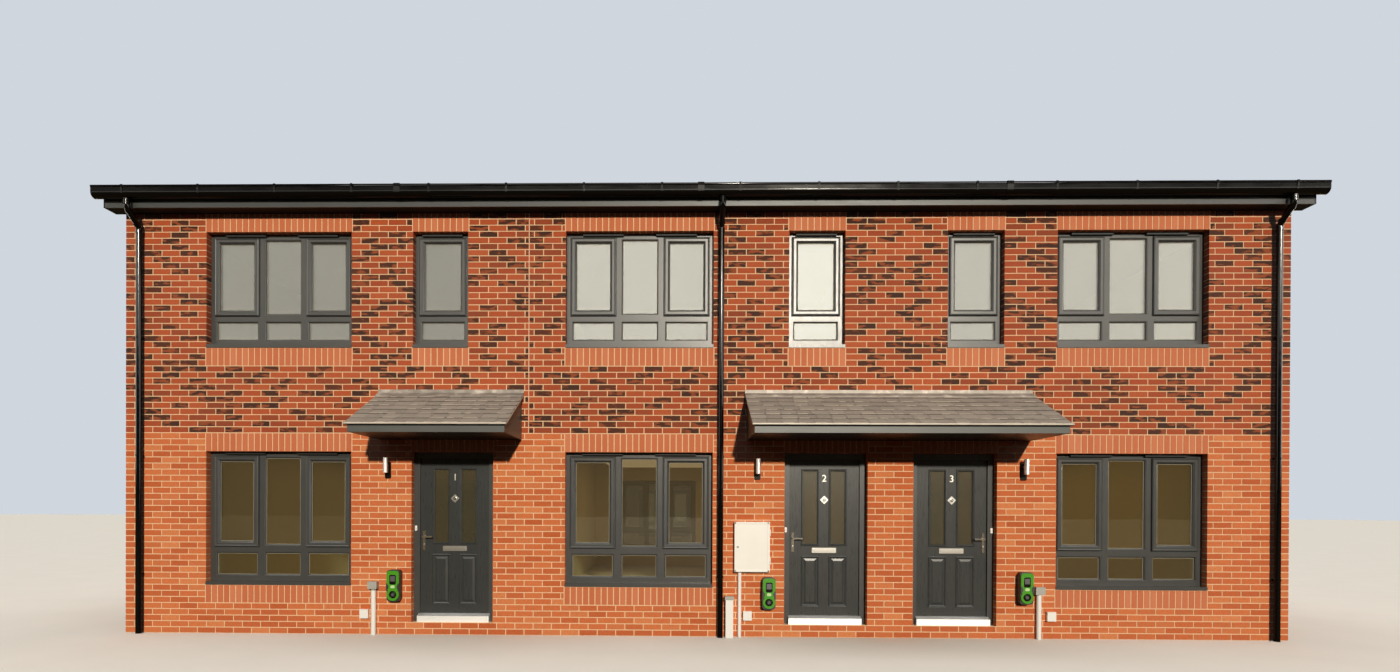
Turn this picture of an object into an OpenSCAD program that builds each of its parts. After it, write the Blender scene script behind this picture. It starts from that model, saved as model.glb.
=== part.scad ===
// Row of three two-storey brick houses, in millimetres.
// X runs along the front, the front faces -Y, and Z is up. The origin is the centre of the
// footprint at the lowest point where the walls meet the ground.

/* [Row] */
// Width of one house, centre to centre of its party walls
house_w = 4725; // [4700:25:5400]
// Depth of the row over the outer faces of the walls
house_d = 8550; // [6000:25:11000]
// Thickness of the outside walls
wall_t = 300; // [250:5:350]
// Thickness of the party walls
party_t = 275; // [200:5:300]

/* [Levels] */
// Height of the damp course, where the plinth ends
damp_z = 150; // [75:75:150]
// Height of the ground floor above the lowest ground
floor_z = 225; // [175:5:300]
// Height of the line where the plain brick ends and the mixed brick begins
band_z = 2475; // [2400:75:2700]
// Height of the first floor
first_z = 2850; // [2800:10:3100]
// Thickness of the first floor with its joists
first_t = 250; // [200:5:300]
// Height of the underside of the top ceilings
ceiling_z = 5225; // [5050:5:5300]
// Thickness of the top ceilings
ceiling_t = 25; // [12:1:50]

/* [Openings] */
// Offset of each wide window from the middle of its house
wide_off = [-458, -737, 495]; // [-900:1:900]
// Offset of each doorway from the middle of its house
door_off = [1696, 1544, -1622]; // [-1700:1:1700]
// Offset of each narrow window from the middle of its house
narrow_off = [1544, 1424, -1383]; // [-1700:1:1700]
// Width of a wide window opening
wide_w = 1810; // [1600:5:1900]
// Width of a narrow window opening
narrow_w = 685; // [600:5:800]
// Width of a doorway
door_w = 1010; // [940:5:1050]
// Head of the doorways and ground windows
head_z = 2250; // [2200:5:2300]
// Height of a ground floor window opening
low_win_h = 1650; // [1400:75:1725]
// Foot of the upper window openings
high_sill_z = 3525; // [3450:75:3600]
// Height of an upper window opening
high_win_h = 1425; // [1200:75:1500]

/* [Windows] */
// Depth of the brick reveal in front of a window
reveal = 90; // [60:5:110]
// Depth of a window frame, front to back
frame_d = 70; // [60:1:80]
// Width of the outer frame seen from the front
frame_face = 60; // [40:1:70]
// Width of a mullion or transom
bar_face = 70; // [60:1:90]
// Width between frame and mullion of the side lights of a wide window
side_light_w = 540; // [450:5:600]
// Height of the lower lights of a ground floor window
low_light_h = 305; // [200:5:400]
// Height of the lower lights of an upper window
high_light_h = 250; // [150:5:300]
// Width of an opening sash's frame, with its lip
sash_face = 65; // [50:1:75]
// How far a sash laps over the frame around it
sash_lip = 8; // [5:1:12]
// How far a sash stands in front of the frame
sash_proud = 20; // [12:1:25]
// Depth of a sash, front to back
sash_d = 70; // [60:1:80]
// Bevel on the inner edge of a sash
sash_bevel = 18; // [8:1:24]
// Bevel on the outer edge of a sash
sash_arris = 4; // [2:1:8]
// How far the glass of a sash lies behind the sash's front
glass_in = 28; // [25:1:35]
// Width and depth of a glazing bead
bead = [16, 20]; // [12:1:24]
// How far a bead is set back from the front of the frame
bead_set = 2; // [1:1:6]
// Thickness of a sealed glass unit
glass_t = 28; // [20:1:32]
// Thickness of a window sill
sill_t = 40; // [30:1:60]
// How far a sill stands in front of the brick
sill_nose = 12; // [5:1:30]
// Length, height and depth of a trickle vent
vent = [500, 26, 22]; // [10:1:600]
// Distance of a trickle vent from the middle of a wide window
vent_off = 450; // [260:5:600]

/* [Doors] */
// Width of a door frame seen from the front
jamb_face = 60; // [50:1:70]
// How far the door stop covers the leaf's edge
stop_w = 15; // [12:1:20]
// Thickness of the stop
stop_t = 20; // [15:1:24]
// Gap around a moving leaf
gap = 5; // [5:0.5:8]
// Thickness of a door leaf
leaf_t = 44; // [40:1:50]
// Height of the threshold above the floor
threshold_t = 25; // [15:1:40]
// How far the nose of the threshold stands in front of the door frame, and its fall
threshold_nose = [60, 25]; // [5:1:80]
// Width of a glazed light or lower panel in a leaf
lite_w = 172; // [140:2:200]
// Distance between the two lights of a leaf
lite_gap = 166; // [130:2:200]
// Foot and head of the glazed lights above the floor
lite_z = [909, 1805]; // [800:1:1850]
// Foot and head of the lower panels above the floor
panel_z = [162, 735]; // [100:1:850]
// Width and height of the moulding around a light or panel
moulding = [26, 9]; // [6:1:40]
// Height of the lever above the floor
lever_z = 975; // [950:5:1100]
// Distance of the lever's spindle from the leaf's free edge
lever_in = 55; // [45:1:70]
// Length of a lever
lever_l = 118; // [90:1:140]
// Distance of a lever's middle from the leaf
lever_off = 52; // [40:1:60]
// Height and thickness of a lever
lever_bar = [20, 14]; // [10:1:24]
// Width, height and thickness of a lever's plate
lever_plate = [32, 240, 9]; // [6:1:260]
// Height of the lever above the middle of its plate
lever_rise = 48; // [0:1:90]
// Height of the letter plate above the floor
letter_z = 830; // [800:5:1000]
// Width, height and thickness of the letter plate
letter_plate = [297, 62, 14]; // [8:1:320]
// Width of the rim around the letter plate's flap
letter_rim = 14; // [8:1:20]
// Height of the knocker above the floor
knocker_z = 1451; // [1350:1:1600]
// Width across the corners and thickness of the knocker
knocker = [104, 10]; // [6:1:130]
// Diameter and height of the spyhole on the knocker
spyhole = [42, 12]; // [8:1:50]
// Height of the bell push above the floor
bell_z = 1082; // [1000:1:1200]
// Width, height and depth of the bell push
bell = [26, 62, 14]; // [8:1:80]

/* [Hinges] */
// Radius and height of a hinge knuckle
knuckle = [9, 45]; // [7:1:60]
// Distance of the outer hinges from the ends of the leaf
hinge_end = 200; // [150:5:300]
// Width and thickness of a hinge flap
flap = [30, 3]; // [2:1:35]
// Clearance between knuckles, and where a sloping piece lies on another
play = 0.3; // [0.2:0.05:0.5]

/* [Roof] */
// Pitch of the roof in degrees
roof_pitch = 22.5; // [18:0.5:26]
// Thickness of a roof slope
roof_t = 205; // [140:5:240]
// How far the eaves stand in front of the wall
eaves_over = 195; // [150:5:300]
// How far the roof stands past the gable walls
verge_over = 110; // [60:5:200]
// Height of the underside of the soffit
soffit_z = 5170; // [5100:5:5200]
// Thickness of the soffit board
soffit_t = 12; // [9:1:18]
// Thickness of the fascia and bargeboards
fascia_t = 20; // [16:1:25]
// Height of the fascia
fascia_h = 225; // [150:5:235]
// Width of a ridge tile's leg
ridge_leg = 160; // [120:5:200]
// Thickness of a ridge tile
ridge_t = 18; // [12:1:30]

/* [Rainwater] */
// Width of the gutter
gutter_w = 125; // [100:1:130]
// Depth of the gutter
gutter_h = 140; // [70:1:145]
// Thickness of the gutter
gutter_t = 3; // [2:0.5:5]
// How far the gutter runs past the gable walls
gutter_past = 190; // [120:5:250]
// How far the gutter's lip lies below the top of the fascia
gutter_drop = 5; // [0:1:30]
// Diameter of a downpipe
pipe_d = 68; // [60:1:80]
// Distance of the outer downpipes from the left and right corner of the row
pipe_in = [203, 178]; // [120:1:400]
// Distance of the middle downpipe from the middle of the row
pipe_mid = 258; // [240:1:280]
// Gap between a downpipe and the wall
pipe_off = 26; // [20:1:40]
// Length of the pipe between the gutter and its swan neck
outlet_h = 60; // [40:5:100]
// Radius of the swan neck's bends
neck_r = 90; // [60:5:120]
// Angle of the swan neck's bends in degrees
neck_angle = 50; // [35:1:60]
// How far a socket stands out around the pipe, and its height
socket = [5, 50]; // [3:1:70]
// Distance between pipe clips
clip_pitch = 1450; // [1200:50:1800]
// Height of a pipe clip
clip_h = 24; // [15:1:40]

/* [Canopies] */
// Width of the single and the double canopy roof
canopy_w = [1800, 3475]; // [1500:5:3600]
// Offset of each canopy from the middle of the doors under it
canopy_off = [-20, -32]; // [-60:1:60]
// How far a canopy roof stands in front of the wall
canopy_d = 920; // [700:5:1000]
// Height where the canopy roof meets the wall
canopy_z = 2967; // [2940:1:3000]
// Pitch of a canopy roof in degrees
canopy_pitch = 27.3; // [25:0.1:28]
// Thickness of a canopy roof
canopy_t = 30; // [20:1:40]
// How far the canopy roof laps past its frame at the front and at the sides
canopy_lap = [45, 26]; // [15:1:60]
// Thickness of the canopy boards
board_t = 20; // [15:1:25]
// Height of the underside of a canopy
canopy_under = 2395; // [2340:1:2410]
// Height of the lead on the wall and its length down the roof
lead = [43, 110]; // [30:1:150]
// Thickness of the lead
lead_t = 7; // [2:1:9]

/* [Wall fittings] */
// Distance of each wall light from the middle of its door
light_off = [790, 834, 817]; // [650:1:900]
// Height of the middle of the wall lights and of their plates
light_z = [2077, 2020]; // [1900:1:2150]
// Diameter and length of a wall light
light = [58, 182]; // [40:2:280]
// Distance of a wall light's middle from the wall
light_d = 90; // [60:1:120]
// Thickness of a wall light's shell and depth of its open ends
light_shell = [4, 11]; // [2:1:20]
// Width, height and thickness of a wall light's plate
light_plate = [70, 200, 22]; // [10:1:240]
// Distance from the middle of its door, and height, of the middle of each car charger
charger_at = [[691, 608], [699, 541], [823, 620]]; // [400:1:900]
// Width, height and depth of a car charger
charger = [158, 385, 96]; // [60:1:400]
// Radius of a car charger's corners
charger_r = 38; // [10:1:60]
// Width, height and thickness of the face on a car charger
charger_face = [150, 365, 14]; // [5:1:380]
// How far the round and the square part of the face run into each other
charger_waist = 30; // [20:1:45]
// Width, height and depth of the window in a car charger's face
charger_window = [80, 104, 8]; // [4:1:120]
// Diameter of the socket in a car charger's face and of its pin insert
charger_socket = [94, 60]; // [40:1:110]
// Distance of the meter box from the middle of the second door
meter_off = 902; // [850:1:950]
// Height of the foot of the meter box
meter_z = 798; // [600:1:900]
// Width, height and depth of the meter box
meter = [428, 605, 70]; // [50:1:700]
// Thickness of the meter box's walls and door
meter_t = 6; // [4:1:8]
// Radius and height of a knuckle of the meter door's hinges
meter_knuckle = [5, 40]; // [4:1:60]
// Distance of the meter door's hinges from its ends
meter_hinge_end = 90; // [60:1:150]
// Diameter of the meter's conduit and its distance from the side of the box
conduit = [44, 68]; // [20:1:120]
// Distance from the middle of its door, and height, of each capped riser
riser_at = [[958, 565], [998, 543]]; // [400:1:1200]
// Diameter of a capped riser
riser_d = 60; // [40:1:80]
// Width, height and depth of a riser's cap
riser_cap = [112, 90, 80]; // [60:1:140]
// Distance from the middle of the second door, width and height of the service duct
duct = [1174, 92, 480]; // [60:1:1300]
// Distance from the middle of its door, and height, of the middle of each junction box
junction_at = [[1073, 256], [952, 262], [1149, 276]]; // [200:1:1300]
// Width, height and depth of a junction box
junction = [104, 112, 46]; // [30:1:130]

/* [Hidden] */
$fn = 48;

last = len(door_off) - 1;
all_houses = [0 : last];
row_l = house_w * len(door_off);
end_x = row_l / 2;
front_y = -house_d / 2;
inner_y = front_y + wall_t;
roof_rise = tan(roof_pitch);
roof_v = roof_t / cos(roof_pitch);
eaves_y = front_y - eaves_over + fascia_t;
eaves_z = soffit_z + soffit_t;

// Colours
brick = "#c2593a";
anthracite = "#3d4042";
near_black = "#17191b";
metal = "#c9cbcc";
pale = "#e9e6de";
clear = [0.75, 0.82, 0.85, 0.5];

function house_x(i) = (i - last / 2) * house_w;
function wide_x(i) = house_x(i) + wide_off[i];
function door_x(i) = house_x(i) + door_off[i];
function narrow_x(i) = house_x(i) + narrow_off[i];
// Doors 1 and 2 hang on the right, door 3 on the left
function turn(i) = i == last ? -1 : 1;
// Place at a distance from the middle of door i, on the side of its lever
function beside(i, distance) = door_x(i) - turn(i) * distance;
// Underside of the roof at a distance y from the middle of the row
function under_z(y) = eaves_z + (y - eaves_y) * roof_rise;

// Extrudes along +X an outline drawn as (Y, Z)
module along_x(l) rotate([90, 0, 90]) linear_extrude(l) children();
// Extrudes from y0 to y1 an outline drawn as (X, Z)
module along_y(y0, y1) translate([0, y1, 0]) rotate([90, 0, 0]) linear_extrude(y1 - y0) children();
module block(low, high) translate(low) cube(high - low);
module both_sides() { children(); mirror([0, 1, 0]) children(); }

// Bar along X whose ends are cut at 45 degrees; the child is its section as (Y, Z)
module mitred_bar(l, face, depth) intersection() {
  translate([-l / 2, 0, 0]) along_x(l) children();
  along_y(-depth, depth) polygon([[-l / 2, 0], [l / 2, 0], [l / 2 - face, face], [face - l / 2, face]]);
}
// Rectangular frame of four mitred bars, standing around the origin
module mitred_frame(w, h, face)
  for (side = [0 : 3]) {
    l = side % 2 == 0 ? w : h;
    across = side % 2 == 0 ? h : w;
    rotate([0, 90 * side, 0]) translate([0, 0, -across / 2]) mitred_bar(l, face, house_d) children();
  }
// Rectangle with round corners
module round_rect(w, h, r) {
  square([w - 2 * r, h], center = true);
  square([w, h - 2 * r], center = true);
  for (x = [-1, 1], z = [-1, 1]) translate([x * (w / 2 - r), z * (h / 2 - r)]) circle(r);
}

// Openings through a front wall
module window_hole(x, w, z, h) block([x - w / 2, front_y - gap, z], [x + w / 2, inner_y + gap, z + h]);
module door_hole(x, top)
  block([x - door_w / 2, front_y - gap, damp_z - gap], [x + door_w / 2, inner_y + gap, top]);
module ground_window_holes() for (i = all_houses) window_hole(wide_x(i), wide_w, head_z - low_win_h, low_win_h);
module upper_window_holes() for (i = all_houses) {
  window_hole(wide_x(i), wide_w, high_sill_z, high_win_h);
  window_hole(narrow_x(i), narrow_w, high_sill_z, high_win_h);
}
// Wall along the front from height z0 up to the slope of the roof
module wall_to_roof(z0) translate([-end_x, 0, 0]) along_x(row_l) polygon([[front_y, z0], [inner_y, z0],
  [inner_y, under_z(inner_y) - play], [front_y, under_z(front_y) - play]]);

// The space inside house i, from z0 to z1
module room(i, z0, z1) {
  x0 = i == 0 ? -end_x + wall_t : house_x(i) - (house_w - party_t) / 2;
  x1 = i == last ? end_x - wall_t : house_x(i) + (house_w - party_t) / 2;
  block([x0, inner_y, z0], [x1, -inner_y, z1]);
}
// Walls below the damp course, which carry everything
module plinth() color(brick) difference() {
  block([-end_x, front_y, 0], [end_x, -front_y, damp_z]);
  for (i = all_houses) room(i, -gap, damp_z + gap);
}
module front_wall_ground() color(brick) difference() {
  block([-end_x, front_y, damp_z], [end_x, inner_y, band_z]);
  ground_window_holes();
  for (i = all_houses) door_hole(door_x(i), band_z + gap);
}
// The upper wall comes down as a lintel over each doorway
module front_wall_upper() color(brick) {
  difference() {
    wall_to_roof(band_z);
    upper_window_holes();
  }
  for (i = all_houses)
    block([door_x(i) - door_w / 2, front_y, head_z], [door_x(i) + door_w / 2, inner_y, band_z]);
}
module back_wall() color(brick) mirror([0, 1, 0]) difference() {
  wall_to_roof(damp_z);
  ground_window_holes();
  upper_window_holes();
  for (i = all_houses) door_hole(door_x(i), head_z);
}
// Cross wall of thickness t from the damp course up to both slopes
module cross_wall(x, t) translate([x, 0, 0]) along_x(t) polygon([[inner_y, damp_z], [-inner_y, damp_z],
  [-inner_y, under_z(inner_y) - play], [0, under_z(0) - play], [inner_y, under_z(inner_y) - play]]);
module left_gable_wall() color(brick) cross_wall(-end_x, wall_t);
module right_gable_wall() color(brick) cross_wall(end_x - wall_t, wall_t);
module party_walls() color("#b9b4ab")
  for (i = [1 : last]) cross_wall(house_x(i) - (house_w + party_t) / 2, party_t);

// Each ground floor runs on into its two doorways
module ground_floors() color("#a9a7a2") for (i = all_houses) {
  room(i, 0, floor_z);
  both_sides()
    block([door_x(i) - door_w / 2, leaf_y + leaf_t, damp_z], [door_x(i) + door_w / 2, inner_y, floor_z]);
}
module first_floors() color("#cfc8ba") for (i = all_houses) room(i, first_z - first_t, first_z);
module top_ceilings() color("#efede8") for (i = all_houses) room(i, ceiling_z, ceiling_z + ceiling_t);

// Roof
roof_l = row_l + 2 * verge_over;
module along_roof() translate([-roof_l / 2, 0, 0]) along_x(roof_l) children();
module roof_slope() color("#4b4d50") along_roof()
  polygon([[eaves_y, eaves_z], [0, under_z(0)], [0, under_z(0) + roof_v], [eaves_y, eaves_z + roof_v]]);
module front_roof_slope() roof_slope();
module back_roof_slope() mirror([0, 1, 0]) roof_slope();
module ridge_tiles() color("#3f4144") along_roof() {
  top = under_z(0) + roof_v + play;
  run = ridge_leg * cos(roof_pitch);
  drop = ridge_leg * sin(roof_pitch);
  lift = ridge_t / cos(roof_pitch);
  polygon([[0, top], [run, top - drop], [run, top - drop + lift], [0, top + lift], [-run, top - drop + lift],
    [-run, top - drop]]);
}
module fascias() color("#7a7874") both_sides()
  block([-roof_l / 2, eaves_y - fascia_t, soffit_z], [roof_l / 2, eaves_y, soffit_z + fascia_h]);
// Board up each verge with a box end behind each gutter
module bargeboards() color(near_black) for (side = [-1, 1])
  translate([side * (roof_l + fascia_t) / 2 - fascia_t / 2, 0, 0]) along_x(fascia_t)
    polygon([[eaves_y - fascia_t, soffit_z], [front_y, soffit_z], [front_y, under_z(front_y)], [0, under_z(0)],
      [-front_y, under_z(front_y)], [-front_y, soffit_z], [fascia_t - eaves_y, soffit_z],
      [fascia_t - eaves_y, soffit_z + fascia_h], [-eaves_y, eaves_z + roof_v], [0, under_z(0) + roof_v],
      [eaves_y, eaves_z + roof_v], [eaves_y - fascia_t, soffit_z + fascia_h]]);
module soffits() color(near_black) both_sides()
  block([-roof_l / 2, eaves_y, soffit_z], [roof_l / 2, front_y, soffit_z + soffit_t]);

// Gutter section as (Y, Z): straight sides over a half round
gutter_r = gutter_w / 2;
gutter_y = eaves_y - fascia_t - gutter_r;
gutter_z = soffit_z + fascia_h - gutter_drop;
gutter_l = row_l + 2 * gutter_past;
module gutter_outline(inset) translate([gutter_y, gutter_z - gutter_h + gutter_r]) {
  difference() {
    circle(gutter_r - inset);
    translate([-gutter_w, 0]) square(2 * gutter_w);
  }
  translate([inset - gutter_r, 0]) square([gutter_w - 2 * inset, gutter_h - gutter_r]);
}
module gutters() color(near_black) both_sides() difference() {
  translate([-gutter_l / 2, 0, 0]) along_x(gutter_l) gutter_outline(0);
  translate([gutter_t - gutter_l / 2, 0, 0]) along_x(gutter_l - 2 * gutter_t) {
    gutter_outline(gutter_t);
    translate([gutter_y - gutter_r + gutter_t, gutter_z - gap]) square([gutter_w - 2 * gutter_t, 2 * gap]);
  }
}

// Downpipe: an outlet under the gutter, a swan neck back to the wall, a straight pipe and clips
pipe_r = pipe_d / 2;
pipe_y = front_y - pipe_off - pipe_r;
socket_r = pipe_r + socket[0];
neck_run = pipe_y - gutter_y;
neck_slope = (neck_run - 2 * neck_r * (1 - cos(neck_angle))) / sin(neck_angle);
neck_top = gutter_z - gutter_h - outlet_h;
neck_foot = neck_top - 2 * neck_r * sin(neck_angle) - neck_slope * cos(neck_angle);
module bend(start) rotate([90, 0, 90]) rotate([0, 0, start])
  rotate_extrude(angle = neck_angle) translate([neck_r, 0]) circle(pipe_r);
module downpipe() {
  // outlet
  translate([0, gutter_y, neck_top]) cylinder(r = pipe_r, h = outlet_h);
  translate([0, gutter_y, neck_top - socket[1] / 4]) cylinder(r = socket_r, h = socket[1]);
  // swan neck
  translate([0, gutter_y + neck_r, neck_top]) bend(180);
  translate([0, gutter_y + neck_r * (1 - cos(neck_angle)), neck_top - neck_r * sin(neck_angle)])
    rotate([180 + neck_angle, 0, 0]) {
      cylinder(r = pipe_r, h = neck_slope);
      for (z = [0, neck_slope]) translate([0, 0, z - clip_h / 2]) cylinder(r = socket_r, h = clip_h);
    }
  translate([0, pipe_y - neck_r, neck_foot]) bend(0);
  // straight pipe with its socket, and the clips on the wall
  translate([0, pipe_y, 0]) cylinder(r = pipe_r, h = neck_foot);
  translate([0, pipe_y, neck_foot - socket[1] * 0.75]) cylinder(r = socket_r, h = socket[1]);
  for (z = [clip_pitch / 2 : clip_pitch : neck_foot - socket[1]]) {
    translate([0, pipe_y, z]) cylinder(r = socket_r, h = clip_h);
    block([-socket_r / 2, pipe_y, z], [socket_r / 2, front_y, z + clip_h]);
  }
}
pipe_x = [pipe_in[0] - end_x, pipe_mid, end_x - pipe_in[1]];
module downpipes() color(near_black) both_sides() for (x = pipe_x) translate([x, 0, 0]) downpipe();

// Canopies: the single one over the first door, the double one over the other two
canopy_x = [door_x(0) + canopy_off[0], (door_x(1) + door_x(2)) / 2 + canopy_off[1]];
canopy_rise = tan(canopy_pitch);
canopy_v = canopy_t / cos(canopy_pitch);
both_canopies = [0, 1];
// Top of a canopy roof at a distance d in front of the wall
function canopy_top(d) = canopy_z - d * canopy_rise;
// Section under a canopy's slope: inset from the front and foot, and run past the back and the slope
module canopy_section(inset, past) {
  front = canopy_d - canopy_lap[0] - inset;
  polygon([[front_y + past, canopy_under + inset], [front_y - front, canopy_under + inset],
    [front_y - front, canopy_top(front) - canopy_v - play + past],
    [front_y + past, canopy_top(-past) - canopy_v - play + past]]);
}
module canopy_frames() color("#5c605e") for (i = both_canopies) translate([canopy_x[i], 0, 0]) {
  w = canopy_w[i] - 2 * canopy_lap[1];
  difference() {
    translate([-w / 2, 0, 0]) along_x(w) canopy_section(0, 0);
    translate([board_t - w / 2, 0, 0]) along_x(w - 2 * board_t) canopy_section(board_t, gap);
  }
}
module canopy_roofs() color("#8a7f76") for (i = both_canopies)
  translate([canopy_x[i] - canopy_w[i] / 2, 0, 0]) along_x(canopy_w[i])
    polygon([[front_y, canopy_z], [front_y - canopy_d, canopy_top(canopy_d)],
      [front_y - canopy_d, canopy_top(canopy_d) - canopy_v], [front_y, canopy_z - canopy_v]]);
module canopy_flashings() color("#c9c2b5") for (i = both_canopies)
  translate([canopy_x[i] - canopy_w[i] / 2, 0, 0]) along_x(canopy_w[i]) {
    run = lead[1] * cos(canopy_pitch);
    top = canopy_z + lead[0];
    polygon([[front_y, canopy_z + play], [front_y, top], [front_y - lead_t, top],
      [front_y - lead_t, canopy_top(lead_t) + play + lead_t], [front_y - run, canopy_top(run) + play + lead_t],
      [front_y - run, canopy_top(run) + play]]);
  }

// Window: columns of lights over shorter fixed lights, centred on x = 0 with its foot at z = 0
win_y = front_y + reveal;
function mid_light_w(w) = w - 2 * frame_face - 2 * bar_face - 2 * side_light_w;
// Middle and width of each column of lights, and whether its upper light opens
function columns(w) = w > narrow_w
  ? [[frame_face + (side_light_w - w) / 2, side_light_w, true], [0, mid_light_w(w), false],
     [(w - side_light_w) / 2 - frame_face, side_light_w, true]]
  : [[0, w - 2 * frame_face, true]];
function vents(w) = w > narrow_w ? [-vent_off, vent_off] : [0];
function upper_light_h(h, low_h) = h - sill_t - 2 * frame_face - bar_face - low_h;
// Middle height of the lower and the upper lights
function low_mid(low_h) = sill_t + frame_face + low_h / 2;
function high_mid(h, low_h) = h - frame_face - upper_light_h(h, low_h) / 2;

bead_y = win_y + bead_set;
bead_back = bead_y + bead[1];
module fixed_beads(w, h) mitred_frame(w, h, bead[0]) polygon([[bead_y, 0], [bead_back, 0], [bead_back, bead[0]],
  [bead_y + bead[0] / 2, bead[0]], [bead_y, bead[0] / 2]]);
module window_frame(w, h, low_h) {
  along_y(win_y, win_y + frame_d) difference() {
    translate([-w / 2, sill_t]) square([w, h - sill_t]);
    for (c = columns(w)) {
      translate([c[0], low_mid(low_h)]) square([c[1], low_h], center = true);
      translate([c[0], high_mid(h, low_h)]) square([c[1], upper_light_h(h, low_h)], center = true);
    }
  }
  block([-w / 2, front_y - sill_nose, 0], [w / 2, win_y + frame_d, sill_t]);
  for (x = vents(w)) block([x - vent[0] / 2, win_y - vent[2], h - vent[1]], [x + vent[0] / 2, win_y, h]);
  for (c = columns(w)) {
    translate([c[0], 0, low_mid(low_h)]) fixed_beads(c[1], low_h);
    if (!c[2]) translate([c[0], 0, high_mid(h, low_h)]) fixed_beads(c[1], upper_light_h(h, low_h));
  }
}
sash_y = win_y - sash_proud;
module sash_section() polygon([[win_y, 0], [win_y, sash_lip], [sash_y + sash_d, sash_lip],
  [sash_y + sash_d, sash_face], [sash_y + sash_bevel, sash_face], [sash_y, sash_face - sash_bevel],
  [sash_y, sash_arris], [sash_y + sash_arris, 0]]);
module window_sashes(w, h, low_h) for (c = columns(w)) if (c[2])
  translate([c[0], 0, high_mid(h, low_h)])
    mitred_frame(c[1] + 2 * sash_lip, upper_light_h(h, low_h) + 2 * sash_lip, sash_face) sash_section();
module pane(w, h, y) block([-w / 2, y, -h / 2], [w / 2, y + glass_t, h / 2]);
module window_glass(w, h, low_h) {
  edge = 2 * (sash_face - sash_lip);
  for (c = columns(w)) {
    translate([c[0], 0, low_mid(low_h)]) pane(c[1], low_h, bead_back);
    translate([c[0], 0, high_mid(h, low_h)])
      if (c[2]) pane(c[1] - edge, upper_light_h(h, low_h) - edge, sash_y + glass_in);
      else pane(c[1], upper_light_h(h, low_h), bead_back);
  }
}
module all_frames() for (i = all_houses) {
  translate([wide_x(i), 0, head_z - low_win_h]) window_frame(wide_w, low_win_h, low_light_h);
  translate([wide_x(i), 0, high_sill_z]) window_frame(wide_w, high_win_h, high_light_h);
  translate([narrow_x(i), 0, high_sill_z]) window_frame(narrow_w, high_win_h, high_light_h);
}
module all_sashes() for (i = all_houses) {
  translate([wide_x(i), 0, head_z - low_win_h]) window_sashes(wide_w, low_win_h, low_light_h);
  translate([wide_x(i), 0, high_sill_z]) window_sashes(wide_w, high_win_h, high_light_h);
  translate([narrow_x(i), 0, high_sill_z]) window_sashes(narrow_w, high_win_h, high_light_h);
}
module all_glass() for (i = all_houses) {
  translate([wide_x(i), 0, head_z - low_win_h]) window_glass(wide_w, low_win_h, low_light_h);
  translate([wide_x(i), 0, high_sill_z]) window_glass(wide_w, high_win_h, high_light_h);
  translate([narrow_x(i), 0, high_sill_z]) window_glass(narrow_w, high_win_h, high_light_h);
}
module front_window_frames() color(anthracite) all_frames();
module front_sashes() color(anthracite) all_sashes();
module front_glass() color(clear) all_glass();
module back_window_frames() color(anthracite) mirror([0, 1, 0]) {
  all_frames();
  all_sashes();
}
module back_glass() color(clear) mirror([0, 1, 0]) {
  all_glass();
  for (i = all_houses) at_door(i) leaf_glass();
}

// Door: drawn for a leaf hinged on the right, centred on x = 0 with the floor at z = 0
door_h = head_z - floor_z;
door_foot = damp_z - floor_z;
door_y = front_y + reveal;
leaf_w = door_w - 2 * jamb_face - 2 * gap;
leaf_y = door_y + stop_t + gap;
leaf_back = leaf_y + leaf_t;
leaf_foot = threshold_t + gap;
leaf_head = door_h - jamb_face - gap;
hinge_x = leaf_w / 2 + gap / 2;
hinge_y = leaf_back + knuckle[0];
hinge_z = [leaf_foot + hinge_end, (leaf_foot + leaf_head) / 2, leaf_head - hinge_end - 2 * knuckle[1]];
lever_x = lever_in - leaf_w / 2;
module at_door(i) translate([door_x(i), 0, floor_z])
  if (turn(i) > 0) children(); else mirror([1, 0, 0]) children();
// Knuckle with its flap, which runs from the pin to x
module hinge_half(z, x) {
  translate([hinge_x, hinge_y, z]) cylinder(r = knuckle[0], h = knuckle[1]);
  block([min(hinge_x, x), leaf_back, z], [max(hinge_x, x), leaf_back + flap[1], z + knuckle[1]]);
}
module frame_hinges() for (z = hinge_z) hinge_half(z, hinge_x + flap[0]);
module leaf_hinges() for (z = hinge_z) hinge_half(z + knuckle[1] + play, hinge_x - flap[0]);
// Head and jambs of a frame, down to z = foot
module jambs(face, foot) difference() {
  translate([-door_w / 2, foot]) square([door_w, door_h - foot]);
  translate([face - door_w / 2, foot - gap]) square([door_w - 2 * face, door_h - face - foot + gap]);
}
module door_frame() along_y(door_y, leaf_back) jambs(jamb_face, door_foot);
module door_stop() along_y(door_y, door_y + stop_t) jambs(jamb_face + stop_w, threshold_t);
module threshold() {
  l = door_w - 2 * jamb_face;
  nose_y = door_y - threshold_nose[0];
  translate([-l / 2, 0, 0]) along_x(l) polygon([[leaf_back, door_foot], [leaf_back, threshold_t],
    [door_y, threshold_t], [nose_y, threshold_t - threshold_nose[1]], [nose_y, door_foot]]);
}
module bell_push() translate([(jamb_face - door_w) / 2, 0, bell_z])
  along_y(door_y - bell[2], door_y) round_rect(bell[0], bell[1], bell[0] / 4);

// Middles of the two lights and of the two lower panels
module at_pair(z) for (side = [-1, 1])
  translate([side * (lite_w + lite_gap) / 2, 0, (z[0] + z[1]) / 2]) children();
lite_h = lite_z[1] - lite_z[0];
panel_h = panel_z[1] - panel_z[0];
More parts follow.
